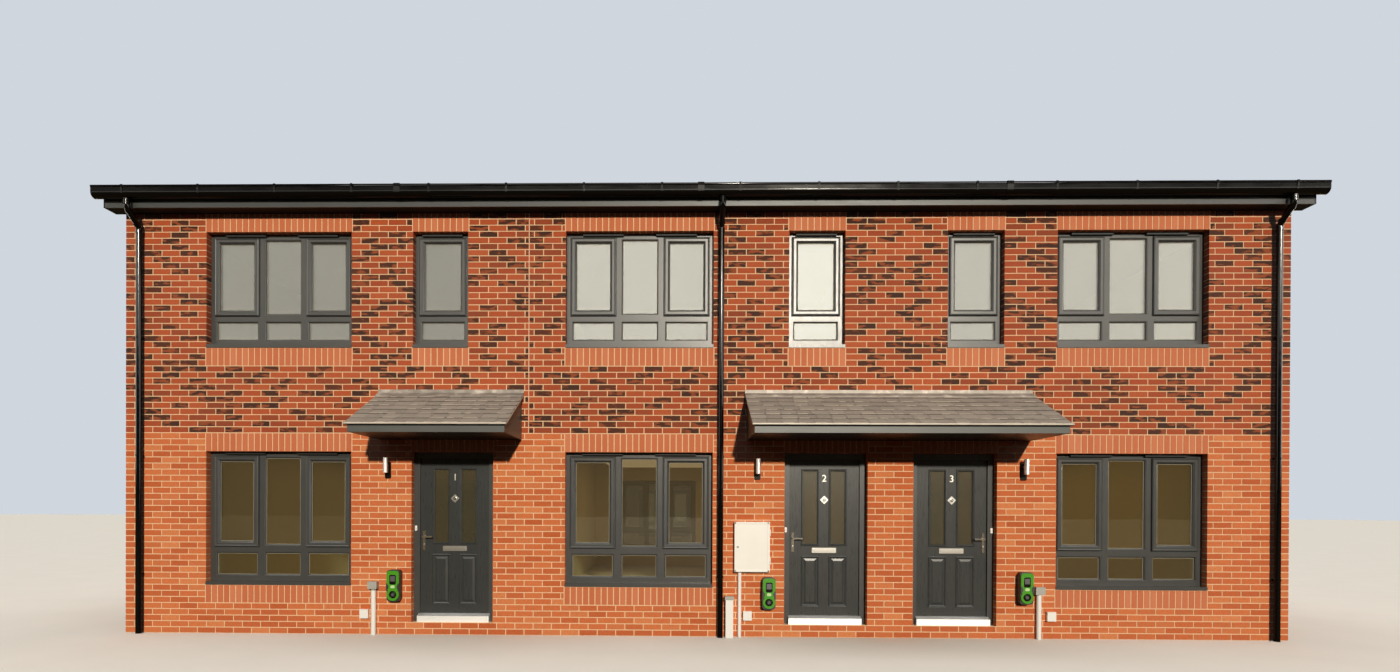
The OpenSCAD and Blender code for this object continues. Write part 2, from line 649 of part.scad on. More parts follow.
// Raised moulding around a light or panel of height h, on the front face of the leaf
module moulding_frame(h) mitred_frame(lite_w + 2 * moulding[0], h + 2 * moulding[0], moulding[0])
  polygon([[leaf_y, 0], [leaf_y - moulding[1] / 2, 0], [leaf_y - moulding[1], moulding[0] / 3],
    [leaf_y - moulding[1], moulding[0] / 2], [leaf_y, moulding[0]]]);
module leaf_face() {
  at_pair(lite_z) moulding_frame(lite_h);
  at_pair(panel_z) moulding_frame(panel_h);
}
module lite_holes() at_pair(lite_z)
  block([-lite_w / 2, leaf_y - gap, -lite_h / 2], [lite_w / 2, leaf_back + gap, lite_h / 2]);
module leaf_glass() at_pair(lite_z) pane(lite_w, lite_h, leaf_y + (leaf_t - glass_t) / 2);
module spindle_hole() translate([lever_x, leaf_y - lever_off, lever_z]) rotate([-90, 0, 0])
  cylinder(d = lever_bar[1], h = leaf_t + 2 * lever_off);
module leaf() {
  difference() {
    block([-leaf_w / 2, leaf_y, leaf_foot], [leaf_w / 2, leaf_back, leaf_head]);
    lite_holes();
    spindle_hole();
  }
  leaf_face();
  translate([0, leaf_y + leaf_back, 0]) mirror([0, 1, 0]) leaf_face();
  leaf_hinges();
}
// Lever plates on both faces, the letter plate and the knocker with its spyhole
module fittings() {
  difference() {
    for (y = [leaf_y - lever_plate[2], leaf_back]) translate([lever_x, 0, lever_z - lever_rise])
      along_y(y, y + lever_plate[2]) round_rect(lever_plate[0], lever_plate[1], lever_plate[0] / 4);
    spindle_hole();
  }
  letter_y = leaf_y - letter_plate[2] / 2;
  translate([0, 0, letter_z]) {
    along_y(letter_y, leaf_y) round_rect(letter_plate[0], letter_plate[1], letter_rim / 2);
    along_y(leaf_y - letter_plate[2], letter_y)
      round_rect(letter_plate[0] - 2 * letter_rim, letter_plate[1] - 2 * letter_rim, letter_rim / 3);
  }
  knocker_y = leaf_y - knocker[1];
  translate([0, 0, knocker_z]) {
    along_y(knocker_y, leaf_y) rotate(45) square(knocker[0] / sqrt(2), center = true);
    along_y(knocker_y - spyhole[1], knocker_y) circle(d = spyhole[0]);
  }
}
// Both levers on their spindle
module lever() translate([lever_x, 0, lever_z]) {
  boss_r = lever_bar[0] / 2;
  boss_in = lever_plate[2] + play;
  tip = lever_l - boss_r;
  translate([0, leaf_y - lever_off, 0]) rotate([-90, 0, 0])
    cylinder(r = boss_r / 2, h = leaf_t + 2 * lever_off);
  for (y = [leaf_y - lever_off, leaf_back + boss_in]) along_y(y, y + lever_off - boss_in) circle(boss_r);
  for (y = [leaf_y - lever_off, leaf_back + lever_off])
    along_y(y - lever_bar[1] / 2, y + lever_bar[1] / 2) {
      circle(boss_r);
      translate([0, -boss_r]) square([tip, 2 * boss_r]);
      translate([tip, 0]) circle(boss_r);
    }
}
module door_frames() color(anthracite) for (i = all_houses) at_door(i) {
  door_frame();
  door_stop();
  frame_hinges();
}
module thresholds() color(metal) both_sides() for (i = all_houses) at_door(i) threshold();
module bell_pushes() color(pale) for (i = all_houses) at_door(i) bell_push();
module door_1_leaf() color(anthracite) at_door(0) leaf();
module door_2_leaf() color(anthracite) at_door(1) leaf();
module door_3_leaf() color(anthracite) at_door(2) leaf();
module door_1_glass() color(clear) at_door(0) leaf_glass();
module door_2_glass() color(clear) at_door(1) leaf_glass();
module door_3_glass() color(clear) at_door(2) leaf_glass();
module door_1_fittings() color(metal) at_door(0) fittings();
module door_2_fittings() color(metal) at_door(1) fittings();
module door_3_fittings() color(metal) at_door(2) fittings();
module door_1_lever() color(metal) at_door(0) lever();
module door_2_lever() color(metal) at_door(1) lever();
module door_3_lever() color(metal) at_door(2) lever();
// A back door stays shut: its leaf fills its frame
module back_doors() color(anthracite) mirror([0, 1, 0]) for (i = all_houses) at_door(i) {
  door_frame();
  shut_w = door_w - 2 * jamb_face;
  difference() {
    block([-shut_w / 2, leaf_y, threshold_t], [shut_w / 2, leaf_back, door_h - jamb_face]);
    lite_holes();
  }
  leaf_face();
}

// Wall light: an upright tube open at both ends, on an arm from a plate on the wall
module wall_lights() color(metal) for (i = all_houses) translate([beside(i, light_off[i]), 0, 0]) {
  light_y = front_y - light_d;
  translate([0, light_y, light_z[0] - light[1] / 2]) difference() {
    cylinder(d = light[0], h = light[1]);
    for (z = [-gap, light[1] - light_shell[1]]) translate([0, 0, z])
      cylinder(d = light[0] - 2 * light_shell[0], h = light_shell[1] + gap);
  }
  translate([0, 0, light_z[1]])
    along_y(front_y - light_plate[2], front_y) round_rect(light_plate[0], light_plate[1], light_plate[2] / 2);
  translate([0, 0, light_z[0]]) along_y(light_y, front_y - light_plate[2]) circle(light[0] / 4);
}
// Car charger: a case with round corners and a waisted face with a window over a round socket
charger_y = front_y - charger[2];
face_y = charger_y - charger_face[2];
module at_chargers() for (i = all_houses)
  translate([beside(i, charger_at[i][0]), 0, charger_at[i][1]]) children();
module car_chargers() color("#1d211f") at_chargers()
  along_y(charger_y, front_y) round_rect(charger[0], charger[1], charger_r);
module charger_faces() color("#5fae2e") at_chargers() {
  w = charger_face[0];
  h = charger_face[1];
  low_z = (w - h) / 2;
  high_z = (w - charger_waist) / 2;
  difference() {
    along_y(face_y, charger_y) {
      translate([0, low_z]) circle(w / 2);
      translate([0, high_z]) round_rect(w, h - w + charger_waist, charger_r);
    }
    translate([0, 0, high_z]) along_y(face_y - gap, face_y + charger_window[2])
      round_rect(charger_window[0], charger_window[1], charger_r / 2);
    translate([0, 0, low_z]) along_y(face_y - gap, face_y + charger_window[2]) circle(d = charger_socket[0]);
  }
  translate([0, 0, low_z]) along_y(face_y, charger_y) circle(d = charger_socket[1]);
}

// Meter box: a shallow case on the wall, its door hinged on the right
meter_x = beside(1, meter_off);
meter_lid_y = front_y - meter[2] - gap - meter_t;
meter_pin = [meter_x + meter[0] / 2 + meter_knuckle[0], meter_lid_y + meter_t / 2];
meter_hinge_z = [meter_z + meter_hinge_end, meter_z + meter[1] - meter_hinge_end - 2 * meter_knuckle[1]];
module meter_pin_at(z)
  translate([meter_pin[0], meter_pin[1], z]) cylinder(r = meter_knuckle[0], h = meter_knuckle[1]);
module meter_box() color(pale) {
  left = meter_x - meter[0] / 2;
  right = meter_x + meter[0] / 2;
  difference() {
    block([left, front_y - meter[2], meter_z], [right, front_y, meter_z + meter[1]]);
    block([left + meter_t, front_y - meter[2] - gap, meter_z + meter_t],
      [right - meter_t, front_y - meter_t, meter_z + meter[1] - meter_t]);
  }
  for (z = meter_hinge_z) {
    meter_pin_at(z);
    block([right, meter_pin[1], z],
      [right + 2 * meter_knuckle[0], front_y - meter[2] / 2, z + meter_knuckle[1]]);
  }
}
module meter_door() color(pale) {
  edge = meter_pin[0] - 2 * meter_knuckle[0];
  block([meter_x - meter[0] / 2, meter_lid_y, meter_z], [edge, meter_lid_y + meter_t, meter_z + meter[1]]);
  for (z = meter_hinge_z) {
    foot = z + meter_knuckle[1] + play;
    meter_pin_at(foot);
    block([edge, meter_lid_y, foot], [meter_pin[0], meter_lid_y + meter_t, foot + meter_knuckle[1]]);
  }
}

// The meter's conduit, the capped risers of the outer houses, the duct and the low junction boxes
module wall_box(x, w, d, z0, z1) block([x - w / 2, front_y - d, z0], [x + w / 2, front_y, z1]);
module wall_pipe(x, d, h) translate([x, front_y - d / 2, 0]) cylinder(d = d, h = h);
module service_risers() color(pale) {
  wall_pipe(meter_x - meter[0] / 2 + conduit[1], conduit[0], meter_z);
  for (i = [0, 1]) {
    x = beside(i * last, riser_at[i][0]);
    wall_pipe(x, riser_d, riser_at[i][1]);
    wall_box(x, riser_cap[0], riser_cap[2], riser_at[i][1], riser_at[i][1] + riser_cap[1]);
  }
  wall_box(beside(1, duct[0]), duct[1], duct[1], 0, duct[2]);
  for (i = all_houses) wall_box(beside(i, junction_at[i][0]), junction[0], junction[2],
    junction_at[i][1] - junction[1] / 2, junction_at[i][1] + junction[1] / 2);
}

plinth();
front_wall_ground();
front_wall_upper();
left_gable_wall();
right_gable_wall();
back_wall();
party_walls();
ground_floors();
first_floors();
top_ceilings();
front_roof_slope();
back_roof_slope();
ridge_tiles();
fascias();
bargeboards();
soffits();
gutters();
downpipes();
canopy_frames();
canopy_roofs();
canopy_flashings();
front_window_frames();
front_sashes();
front_glass();
back_window_frames();
back_doors();
back_glass();
door_frames();
thresholds();
bell_pushes();
door_1_leaf();
door_1_glass();
door_1_fittings();
door_1_lever();
door_2_leaf();
door_2_glass();
door_2_fittings();
door_2_lever();
door_3_leaf();
door_3_glass();
door_3_fittings();
door_3_lever();
wall_lights();
car_chargers();
charger_faces();
meter_box();
meter_door();
service_risers();
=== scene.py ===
# %% [markdown]
# # Dressing a terrace of three brick houses
# The row comes from CAD as plain solids at real size. In this lesson it gets its bricks, slates and finishes.
# The solids are a fixed frame: they take new materials, and new pieces are laid on them, but nothing here
# moves or reshapes them. All lengths are in metres, the front looks along -Y, and Z is up.

# %% Load the frame
import math
import random

import bpy
from mathutils import Matrix, Vector


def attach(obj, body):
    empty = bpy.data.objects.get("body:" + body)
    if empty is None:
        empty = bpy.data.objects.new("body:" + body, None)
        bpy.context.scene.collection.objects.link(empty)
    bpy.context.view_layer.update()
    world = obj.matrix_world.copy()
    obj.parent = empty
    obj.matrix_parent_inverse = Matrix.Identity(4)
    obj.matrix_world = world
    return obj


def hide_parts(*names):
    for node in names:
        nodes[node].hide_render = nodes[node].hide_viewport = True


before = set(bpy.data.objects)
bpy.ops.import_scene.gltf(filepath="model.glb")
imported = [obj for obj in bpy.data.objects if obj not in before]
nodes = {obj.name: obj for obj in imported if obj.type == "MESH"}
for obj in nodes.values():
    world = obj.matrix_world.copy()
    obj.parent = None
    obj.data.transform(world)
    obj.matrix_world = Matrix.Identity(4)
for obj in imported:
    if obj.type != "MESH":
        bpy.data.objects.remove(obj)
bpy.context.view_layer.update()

# %% [markdown]
# ## The camera
# The view is from the street, at eye height, with a wide lens. The lens is shifted up instead of tilted, so the
# upright walls stay upright, as an architectural photographer would do it. The three turns are the small
# errors of a camera held by hand. The view transform is the plain one, so a hex colour keeps its strength.

# %% Camera
def new_object(name, data):
    """An object in the scene that shows this data."""
    made = bpy.data.objects.new(name, data)
    bpy.context.scene.collection.objects.link(made)
    return made


yaw, pitch, roll = (math.radians(turn) for turn in (1.01, -0.21, 0.24))
ahead = Vector((-math.sin(yaw) * math.cos(pitch), math.cos(yaw) * math.cos(pitch), math.sin(pitch)))
level = Vector((math.cos(yaw), math.sin(yaw), 0))
above = level.cross(ahead)
right = math.cos(roll) * level + math.sin(roll) * above
upright = math.cos(roll) * above - math.sin(roll) * level
camera = new_object("street_camera", bpy.data.cameras.new("street_camera"))
camera.data.lens = 18.21
camera.data.shift_x, camera.data.shift_y = 0.0248, 0.1263
camera.matrix_world = (Matrix.Translation((-0.259, -12.926, 1.541))
                       @ Matrix((right, upright, -ahead)).transposed().to_4x4())
bpy.context.scene.camera = camera
bpy.context.scene.view_settings.view_transform = "Standard"
print("camera looks along", ahead)

# %% [markdown]
# ## Helpers for finishes
# A colour is read off as a hex code, which is sRGB, while shaders work in linear light. A finish is a material
# with a Principled shader, and one function adds any node to it. Numbers that are the same all over a surface
# are typed into the shader's own sockets, so that they survive export.

# %% Colour and node helpers
def linear(code):
    """#rrggbb as linear red, green, blue and alpha."""
    parts = [int(code[i:i + 2], 16) / 255 for i in (1, 3, 5)]
    return (*(c / 12.92 if c <= 0.04045 else ((c + 0.055) / 1.055) ** 2.4 for c in parts), 1.0)


def plug(finish, node, inputs):
    """Set a node's sockets: each takes a value, or a wire from another node's output."""
    for name, value in inputs.items():
        if isinstance(value, bpy.types.NodeSocket):
            finish.node_tree.links.new(value, node.inputs[name])
        else:
            node.inputs[name].default_value = value
    return node


def add(finish, kind, inputs=None, **settings):
    """Add a shader node with its inputs and its settings."""
    node = finish.node_tree.nodes.new("ShaderNode" + kind)
    for name, value in settings.items():
        setattr(node, name, value)
    return plug(finish, node, inputs or {})


def wear(finish, shader):
    """Set or wire these sockets of a material's Principled shader."""
    plug(finish, finish.node_tree.nodes["Principled BSDF"], shader)


def new_finish(name, shader):
    """A material whose Principled shader starts with these sockets."""
    finish = bpy.data.materials.new(name)
    finish.use_nodes = True
    wear(finish, shader)
    return finish


def dress(finish, *names):
    """Put a finish on CAD nodes."""
    for name in names:
        nodes[name].data.materials.clear()
        nodes[name].data.materials.append(finish)


# %% [markdown]
# Nearly every pattern here is made in the same steps: find the place on the object, draw noise with a grain of a
# real size there, turn the noise into colours, gloss or relief, and mix. Each step is one short function. Some
# finishes also change at a fixed place of the object, which a comparison with one of its coordinates finds.

# %% Pattern helpers
def spot(finish, stretch=None):
    """The place on the object in metres, squeezed along its axes on demand."""
    place = add(finish, "TexCoord").outputs["Object"]
    return add(finish, "Mapping", {"Vector": place, "Scale": stretch}).outputs[0] if stretch else place


def noise(finish, place, grain_mm, detail, distortion=0.0):
    """Cloudy noise with a grain of this size."""
    return add(finish, "TexNoise", {"Vector": place, "Scale": 1000 / grain_mm, "Detail": detail,
                                    "Distortion": distortion}).outputs["Fac"]


def tone(finish):
    """The number stored on each face, the same all over one brick or slate."""
    return add(finish, "Attribute", attribute_name="tone").outputs["Fac"]


def remap(finish, value, start, end, low, high):
    """A value's range from start to end, mapped to the range from low to high."""
    return add(finish, "MapRange", {"Value": value, "From Min": start, "From Max": end, "To Min": low,
                                    "To Max": high}).outputs[0]


def ramp(finish, value, stops):
    """Colours along a ramp: a list of codes in even steps, or a code for each position."""
    if isinstance(stops, list):
        stops = {i / (len(stops) - 1): code for i, code in enumerate(stops)}
    node = add(finish, "ValToRGB", {"Fac": value})
    elements = node.color_ramp.elements
    for at, code in stops.items():
        stop = elements[0] if at == 0 else elements[-1] if at == 1 else elements.new(at)
        stop.color = linear(code)
    return node.outputs["Color"]


def blend(finish, share, first, second):
    """The first colour giving way to the second. Each is a hex code or a wire."""
    first, second = (linear(colour) if isinstance(colour, str) else colour for colour in (first, second))
    return add(finish, "Mix", {0: share, 6: first, 7: second}, data_type="RGBA").outputs[2]


def relief(finish, height, strength, depth):
    """The normal of relief that is too fine to model."""
    return add(finish, "Bump", {"Height": height, "Strength": strength, "Distance": depth}).outputs[0]


def reckon(finish, operation, first, second=0.0):
    return add(finish, "Math", {0: first, 1: second}, operation=operation).outputs[0]


def part_of(finish, axis, vector=None):
    """One coordinate of the place on the object, or of another vector."""
    return add(finish, "SeparateXYZ", {0: vector or spot(finish)}).outputs[axis]


def away(finish, axis, middle=0.0):
    """How far along an axis the place is from a middle."""
    return reckon(finish, "ABSOLUTE", reckon(finish, "SUBTRACT", part_of(finish, axis), middle))


def faces_down(finish):
    """1 on the faces that look down, and 0 elsewhere."""
    return reckon(finish, "LESS_THAN", part_of(finish, "Z", add(finish, "NewGeometry").outputs["Normal"]), -0.6)


# %% [markdown]
# ## Facing brick
# The walls are extruded, wire-cut clay bricks, 215 x 65 mm, fired to an orange red. The wire drags grit over the
# face, so each brick is matt, with short streaks and pits, and no two come out of the kiln the same. About two
# bricks in five of the upper wall have a dark, over-burnt flash over most of the face. The colour of a whole
# brick comes from a number stored on its faces, called tone, and the streaks from noise. A face pit of 2 mm is
# too fine to show, so the noise is drawn at 18 mm, and a flash is about 125 mm long.

# %% Brick finishes
def brick_finish(name, codes, streak=0.3, roughness=0.88, flash=None):
    """Matt fired clay: a ramp of kiln colours, darker streaks along the brick and a pitted face."""
    finish = new_finish(name, {"Roughness": roughness, "Specular IOR Level": 0.25})
    along_brick = spot(finish, (1, 1, 3))
    drag = noise(finish, along_brick, 18, 3)
    colour = blend(finish, remap(finish, drag, 0.3, 0.7, 0, streak), ramp(finish, tone(finish), codes), "#5a2210")
    if flash:
        burnt = remap(finish, noise(finish, along_brick, 125, 2), 0.42, 0.50, 0, 1)
        colour = blend(finish, burnt, flash, colour)
    wear(finish, {"Base Color": colour, "Normal": relief(finish, drag, 0.35, 0.004)})
    return finish


red_brick = brick_finish("wirecut_red_brick", ["#c56130", "#d46f3d", "#de7e49", "#ca6637", "#e38b56"])
mixed_brick = brick_finish("wirecut_mixed_brick", ["#8e4221", "#ab4b25", "#b9552a", "#be5d33", "#a54622"])
dark_brick = brick_finish("overburnt_dark_brick", ["#301a0d", "#3f2110", "#4c2510", "#341e10", "#592a11"],
                          flash="#8f4522")
soldier_brick = brick_finish("smooth_soldier_brick", ["#c56b42", "#cc744b", "#c76e45", "#d27e56"], 0.1, 0.8)

# %% [markdown]
# ## Mortar, plaster and floors
# Sand and cement mortar is buff and gritty. The CAD wall stands 3.5 mm behind the brick faces, so its outside
# is the mortar, and its inside is the painted plaster of the rooms. The material tells the two apart by the
# place on the wall, which is fixed, so it looks the same from everywhere. The ground floors are poured screed,
# and the first floors are chipboard, as they are before carpets come.

# %% Wall, plaster and floor finishes
wall_finish = new_finish("mortar_and_plaster", {"Roughness": 0.95})
outside = reckon(wall_finish, "MAXIMUM",
                 *(reckon(wall_finish, "GREATER_THAN", away(wall_finish, axis), mid_wall)
                   for axis, mid_wall in (("X", 6.9875), ("Y", 4.175))))
sand = noise(wall_finish, spot(wall_finish), 12, 4)
mortar = ramp(wall_finish, sand, {0: "#c39a74", 0.45: "#e3bd95", 1: "#f0d2ae"})
wear(wall_finish, {"Base Color": blend(wall_finish, outside, "#d6c594", mortar),
                   "Normal": relief(wall_finish, sand, 0.5, 0.002)})

plaster = new_finish("rolled_emulsion_on_plaster", {"Roughness": 0.9})
roller = noise(plaster, spot(plaster), 8, 2)
wear(plaster, {"Base Color": ramp(plaster, roller, ["#d0be8c", "#dbcb9d"]),
               "Normal": relief(plaster, roller, 0.2, 0.001)})

screed = new_finish("poured_gypsum_screed", {"Roughness": 0.8})
wear(screed, {"Base Color": ramp(screed, noise(screed, spot(screed), 250, 6), ["#b9a67e", "#d3c19a"])})

chipboard = new_finish("pressed_chipboard", {"Roughness": 0.7})
chips = add(chipboard, "TexVoronoi", {"Vector": spot(chipboard), "Scale": 1000 / 25}).outputs["Color"]
wear(chipboard, {"Base Color": ramp(chipboard, chips, ["#8f7449", "#a98c5e", "#bfa477"])})

dress(wall_finish, "plinth", "front_wall_ground", "front_wall_upper", "left_gable_wall", "right_gable_wall",
      "back_wall")
dress(plaster, "party_walls", "top_ceilings")
dress(screed, "ground_floors")
dress(chipboard, "first_floors")

# %% [markdown]
# ## Gathering a piece
# Thousands of small blocks go into one mesh, because one object with many faces is far lighter than many
# objects. A pile gathers them. Each block is a prism: an outline pushed along one direction. A brick's back is
# left open, since it beds against the wall. Most other blocks are bars along the row, or bosses on its front,
# and what is round is an arc of short straight steps.

# %% The pile
class Pile:
    """Blocks gathered for one piece, with a finish number and a tone for each face."""

    def __init__(self):
        self.points, self.faces, self.finish, self.tone = [], [], [], []

    def face(self, corners, finish=0, tone=0.5):
        start = len(self.points)
        self.points += corners
        self.faces.append(tuple(range(start, start + len(corners))))
        self.finish.append(finish)
        self.tone.append(tone)

    def prism(self, outline, push, finish=0, tone=0.5, closed=False):
        """The outline pushed along a direction, open at the start unless closed."""
        turn = sum(((outline[i] - outline[0]).cross(outline[i + 1] - outline[0])
                    for i in range(1, len(outline) - 1)), Vector())
        if turn.dot(push) < 0:
            outline = outline[::-1]
        n, start = len(outline), len(self.points)
        self.points += [*outline, *(corner + push for corner in outline)]
        rings = [(start + i, start + (i + 1) % n, start + n + (i + 1) % n, start + n + i) for i in range(n)]
        caps = [tuple(range(start + n, start + 2 * n))]
        if closed:
            caps.append(tuple(range(start + n - 1, start - 1, -1)))
        self.faces += rings + caps
        self.finish += [finish] * (n + len(caps))
        self.tone += [tone] * (n + len(caps))

    def bar(self, side, x, length, section, finish=0, tone=0.5):
        """A closed bar along the row. Its section is (distance from the middle, z), and the front is side -1."""
        outline = [Vector((x, side * y, z)) for y, z in section]
        self.prism(outline, Vector((length, 0, 0)), finish, tone, closed=True)

    def boss(self, x, y, z, outline, height, finish=0, closed=False):
        """An outline (along, up) round a point of a face that looks at the street, pushed out of it."""
        self.prism([Vector((x + u, y, z + v)) for u, v in outline], Vector((0, -height, 0)), finish, closed=closed)

    def piece(self, name, finishes, slot, body="house_row", smooth=False):
        """Make the piece, and let it ride on a body of the frame."""
        mesh = bpy.data.meshes.new(name)
        mesh.from_pydata(self.points, [], self.faces)
        for finish in finishes:
            mesh.materials.append(finish)
        mesh.polygons.foreach_set("material_index", self.finish)
        mesh.polygons.foreach_set("use_smooth", [smooth] * len(self.faces))
        mesh.attributes.new("tone", "FLOAT", "FACE").data.foreach_set("value", self.tone)
        made = new_object(name, mesh)
        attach(made, body)
        print(f"{name}: {len(self.faces)} faces")
        return made


def arc(radius, first, step, count, middle=(0, 0)):
    """Points on an arc round a middle, from a first angle on in even steps of degrees."""
    turns = [math.radians(first + step * i) for i in range(count)]
    return [(middle[0] + radius * math.cos(turn), middle[1] + radius * math.sin(turn)) for turn in turns]


# %% [markdown]
# ## Laying the bricks
# The walls are cavity walls, so only whole stretchers show, each course moved on by half a brick. Bricks are
# laid here as a bricklayer does it: course by course, the walls taking turns to own the corner, and cut where
# an opening comes. A texture would be quicker, but real blocks catch the low sun on their edges, turn into
# the openings as reveals, and stay sharp when someone walks up to the wall. A real joint of 10 mm would be
# too fine to show from the street, so joints are drawn 12 mm wide on the same grid of 225 x 75 mm.

# %% Sizes of the wall
joint, course, stretcher = 0.012, 0.075, 0.225
proud, reveal, lip = 0.0035, 0.088, 0.003
half_row, half_depth = 7.0875, 4.275
band, eaves, roof_rise = 2.475, 5.169, math.tan(math.radians(22.5))
roof_foot = 7.0253
houses = (-4.725, 0.0, 4.725)
wide_windows, narrow_windows, doors = ([x + off for x, off in zip(houses, offsets)] for offsets in (
    (-0.458, -0.737, 0.495), (1.544, 1.424, -1.383), (1.696, 1.544, -1.622)))
wide, narrow, door = 1.810, 0.685, 1.010
print("doors at", doors)

# %% Openings and soldier courses
# Each window is its middle, width, foot, height and the height of its low lights.
windows = ([(x, wide, 0.600, 1.650, 0.305) for x in wide_windows]
           + [(x, wide, 3.525, 1.425, 0.250) for x in wide_windows]
           + [(x, narrow, 3.525, 1.425, 0.250) for x in narrow_windows])
openings, soldiers = [], []
for x, width, low, height, _ in windows[:3] + [(x, door, 0.150, 2.100, 0) for x in doors] + windows[3:]:
    start, end, high = x - width / 2, x + width / 2, low + height
    openings.append((start, end, low, high))
    soldiers.append((start, end, high, high + stretcher))
    if width != door:
        soldiers.append((start, end, low - stretcher, low))
print(len(openings), "openings and", len(soldiers), "soldier courses on each long wall")


# %% The bricklayer
def under(outline, up, limit):
    """The part of an outline in the wall where z + up * u stays below the limit."""
    kept = []
    for (u0, z0), (u1, z1) in zip(outline, outline[1:] + outline[:1]):
        over0, over1 = z0 + up * u0 - limit, z1 + up * u1 - limit
        if over0 <= 0:
            kept.append((u0, z0))
        if over0 * over1 < 0:
            part = over0 / (over0 - over1)
            kept.append((u0 + part * (u1 - u0), z0 + part * (z1 - z0)))
    return kept


def free_spans(low, high, holes):
    """What the holes (start, end, kind) leave of a course, with the kind of each end."""
    spans, start, kind = [], low, "corner"
    for hole_start, hole_end, hole_kind in sorted(holes):
        if hole_start > start:
            spans.append((start, hole_start, kind, hole_kind))
        start, kind = max(start, hole_end), hole_kind
    return spans + [(start, high, kind, "corner")]


def cut_course(low, high, bricks, kinds):
    """The bricks of a course cut to one span. A cut brick reaches into an opening, or keeps its joint."""
    cut = [[max(a, low), min(b, high)] for a, b in bricks if min(b, high) - max(a, low) > 0.035]
    if cut:
        step = {"opening": lip, "soldier": -joint, "gap": 0.0}
        if kinds[0] in step:
            cut[0][0] = low - step[kinds[0]]
        if kinds[1] in step:
            cut[-1][1] = high + step[kinds[1]]
    return cut


def brick(pile, place, outline, inner, out, kind, tone):
    """One brick: an outline (along, up) of the wall, from inside its face to a little proud of it."""
    pile.prism([place(u, z, -inner) for u, z in outline], place(0, 0, out) - place(0, 0, -inner), kind, tone)


def lay_wall(place, half, owns_even, levels, tops, seed, holes=(), joints=()):
    """Bricks of one wall as a pile. place turns (along, up, out) into a point, tops are (slope, limit) lines."""
    pile, chance = Pile(), random.Random(seed)
    count = round((2 * half + joint) / stretcher)
    pitch = (2 * half + joint) / count
    depth, wait = pitch / 2 - joint, 3
    blocked = [(*hole, "opening") for hole in holes] + [(*gap, "gap") for gap in joints]
    blocked += [(*row, "soldier") for row in soldiers] if holes else []
    for k in range(levels[0], levels[1]):
        low, high = k * course + joint / 2, (k + 1) * course - joint / 2
        whole = (k % 2 == 0) == owns_even or low > eaves
        first = -half if whole else -half + pitch / 2
        bricks = [(first + i * pitch, first + (i + 1) * pitch - joint) for i in range(count - (not whole))]
        here = [(a, b, kind) for a, b, z0, z1, kind in blocked if z0 < low < z1]
        for start, end, *kinds in free_spans(-half, half, here):
            cut = cut_course(start, end, bricks, kinds)
            for n, (a, b) in enumerate(cut):
                inner = reveal if (kinds[0] == "opening" and n == 0) or (
                    kinds[1] == "opening" and n == len(cut) - 1) else 0.001
                if whole and a < -half + joint:
                    a, inner = a - proud, depth
                if whole and b > half - joint:
                    b, inner = b + proud, depth
                outline = [(a, low), (b, low), (b, high), (a, high)]
                for slope, limit in tops:
                    outline = under(outline, slope, limit)
                out = proud + chance.uniform(-0.0008, 0.0008)
                if len(outline) > 2:
                    wait -= 1
                    kind = 0 if low < band else 2 if wait < 0 else 1
                    wait = chance.choice((0, 1, 1, 1, 2, 2, 3, 3)) if wait < 0 else wait
                    brick(pile, place, outline, inner, out, kind, chance.random())
    return pile


def stand_soldiers(pile, place, levels, seed):
    """Bricks on end over and under the openings between two heights."""
    chance = random.Random(seed)
    for a, b, low, high in soldiers:
        if not levels[0] < low + joint < levels[1]:
            continue
        count = round((b - a + joint) / course)
        pitch = (b - a + joint) / count
        lintel = any(abs(low - top) < joint and abs(a - left) < joint for left, _, _, top in openings)
        foot, inner = (low - lip, reveal) if lintel else (low + joint / 2, 0.001)
        top = min(high - joint / 2, eaves)
        for i in range(count):
            u0, u1 = a + i * pitch, a + (i + 1) * pitch - joint
            outline = [(u0, foot), (u1, foot), (u1, top), (u0, top)]
            brick(pile, place, outline, inner, proud, 3, chance.random())


# %% [markdown]
# The front wall changes at 31 courses from plain to mixed brick, and a movement joint parts its upper half.
# The back repeats the front's openings. Both gables have no opening and are cut along the roof.

# %% Lay all four walls
brick_set = [red_brick, mixed_brick, dark_brick, soldier_brick]
movement = (-2.096, -2.084, band, 5.2)
flat_top = [(0, eaves)]
verge_top = [(side * roof_rise, roof_foot - 0.012) for side in (-1, 1)]


def front(along, up, out):
    return Vector((along, -half_depth - out, up))


def back(along, up, out):
    return Vector((along, half_depth + out, up))


def left(along, up, out):
    return Vector((-half_row - out, along, up))


def right_side(along, up, out):
    return Vector((half_row + out, along, up))


lower = lay_wall(front, half_row, True, (0, 33), flat_top, 11, openings)
stand_soldiers(lower, front, (0, band), 12)
lower.piece("front_bricks_ground", brick_set, "plain_brick")
upper = lay_wall(front, half_row, True, (33, 69), flat_top, 13, openings, [movement])
stand_soldiers(upper, front, (band, 6), 14)
upper.piece("front_bricks_upper", brick_set, "mixed_brick")
rear = lay_wall(back, half_row, True, (0, 69), flat_top, 15, openings)
stand_soldiers(rear, back, (0, 6), 16)
rear.piece("back_bricks", brick_set, "mixed_brick")
for name, place, seed in (("left_gable_bricks", left, 17), ("right_gable_bricks", right_side, 18)):
    lay_wall(place, half_depth, False, (0, 94), verge_top, seed).piece(name, brick_set, "mixed_brick")

# %% [markdown]
# ## Slate and lead
# The canopies and the roof are covered with grey slate-look tiles: a fine stone face, split by nature or
# pressed to look so, with a low ripple and a paler bloom on it. Colour differs a little from tile to tile. The
# ripple of the cleft face is about 40 mm long. Lead is cast or rolled into soft sheet and dressed by hand, and
# weathers to patches of dull grey and white.

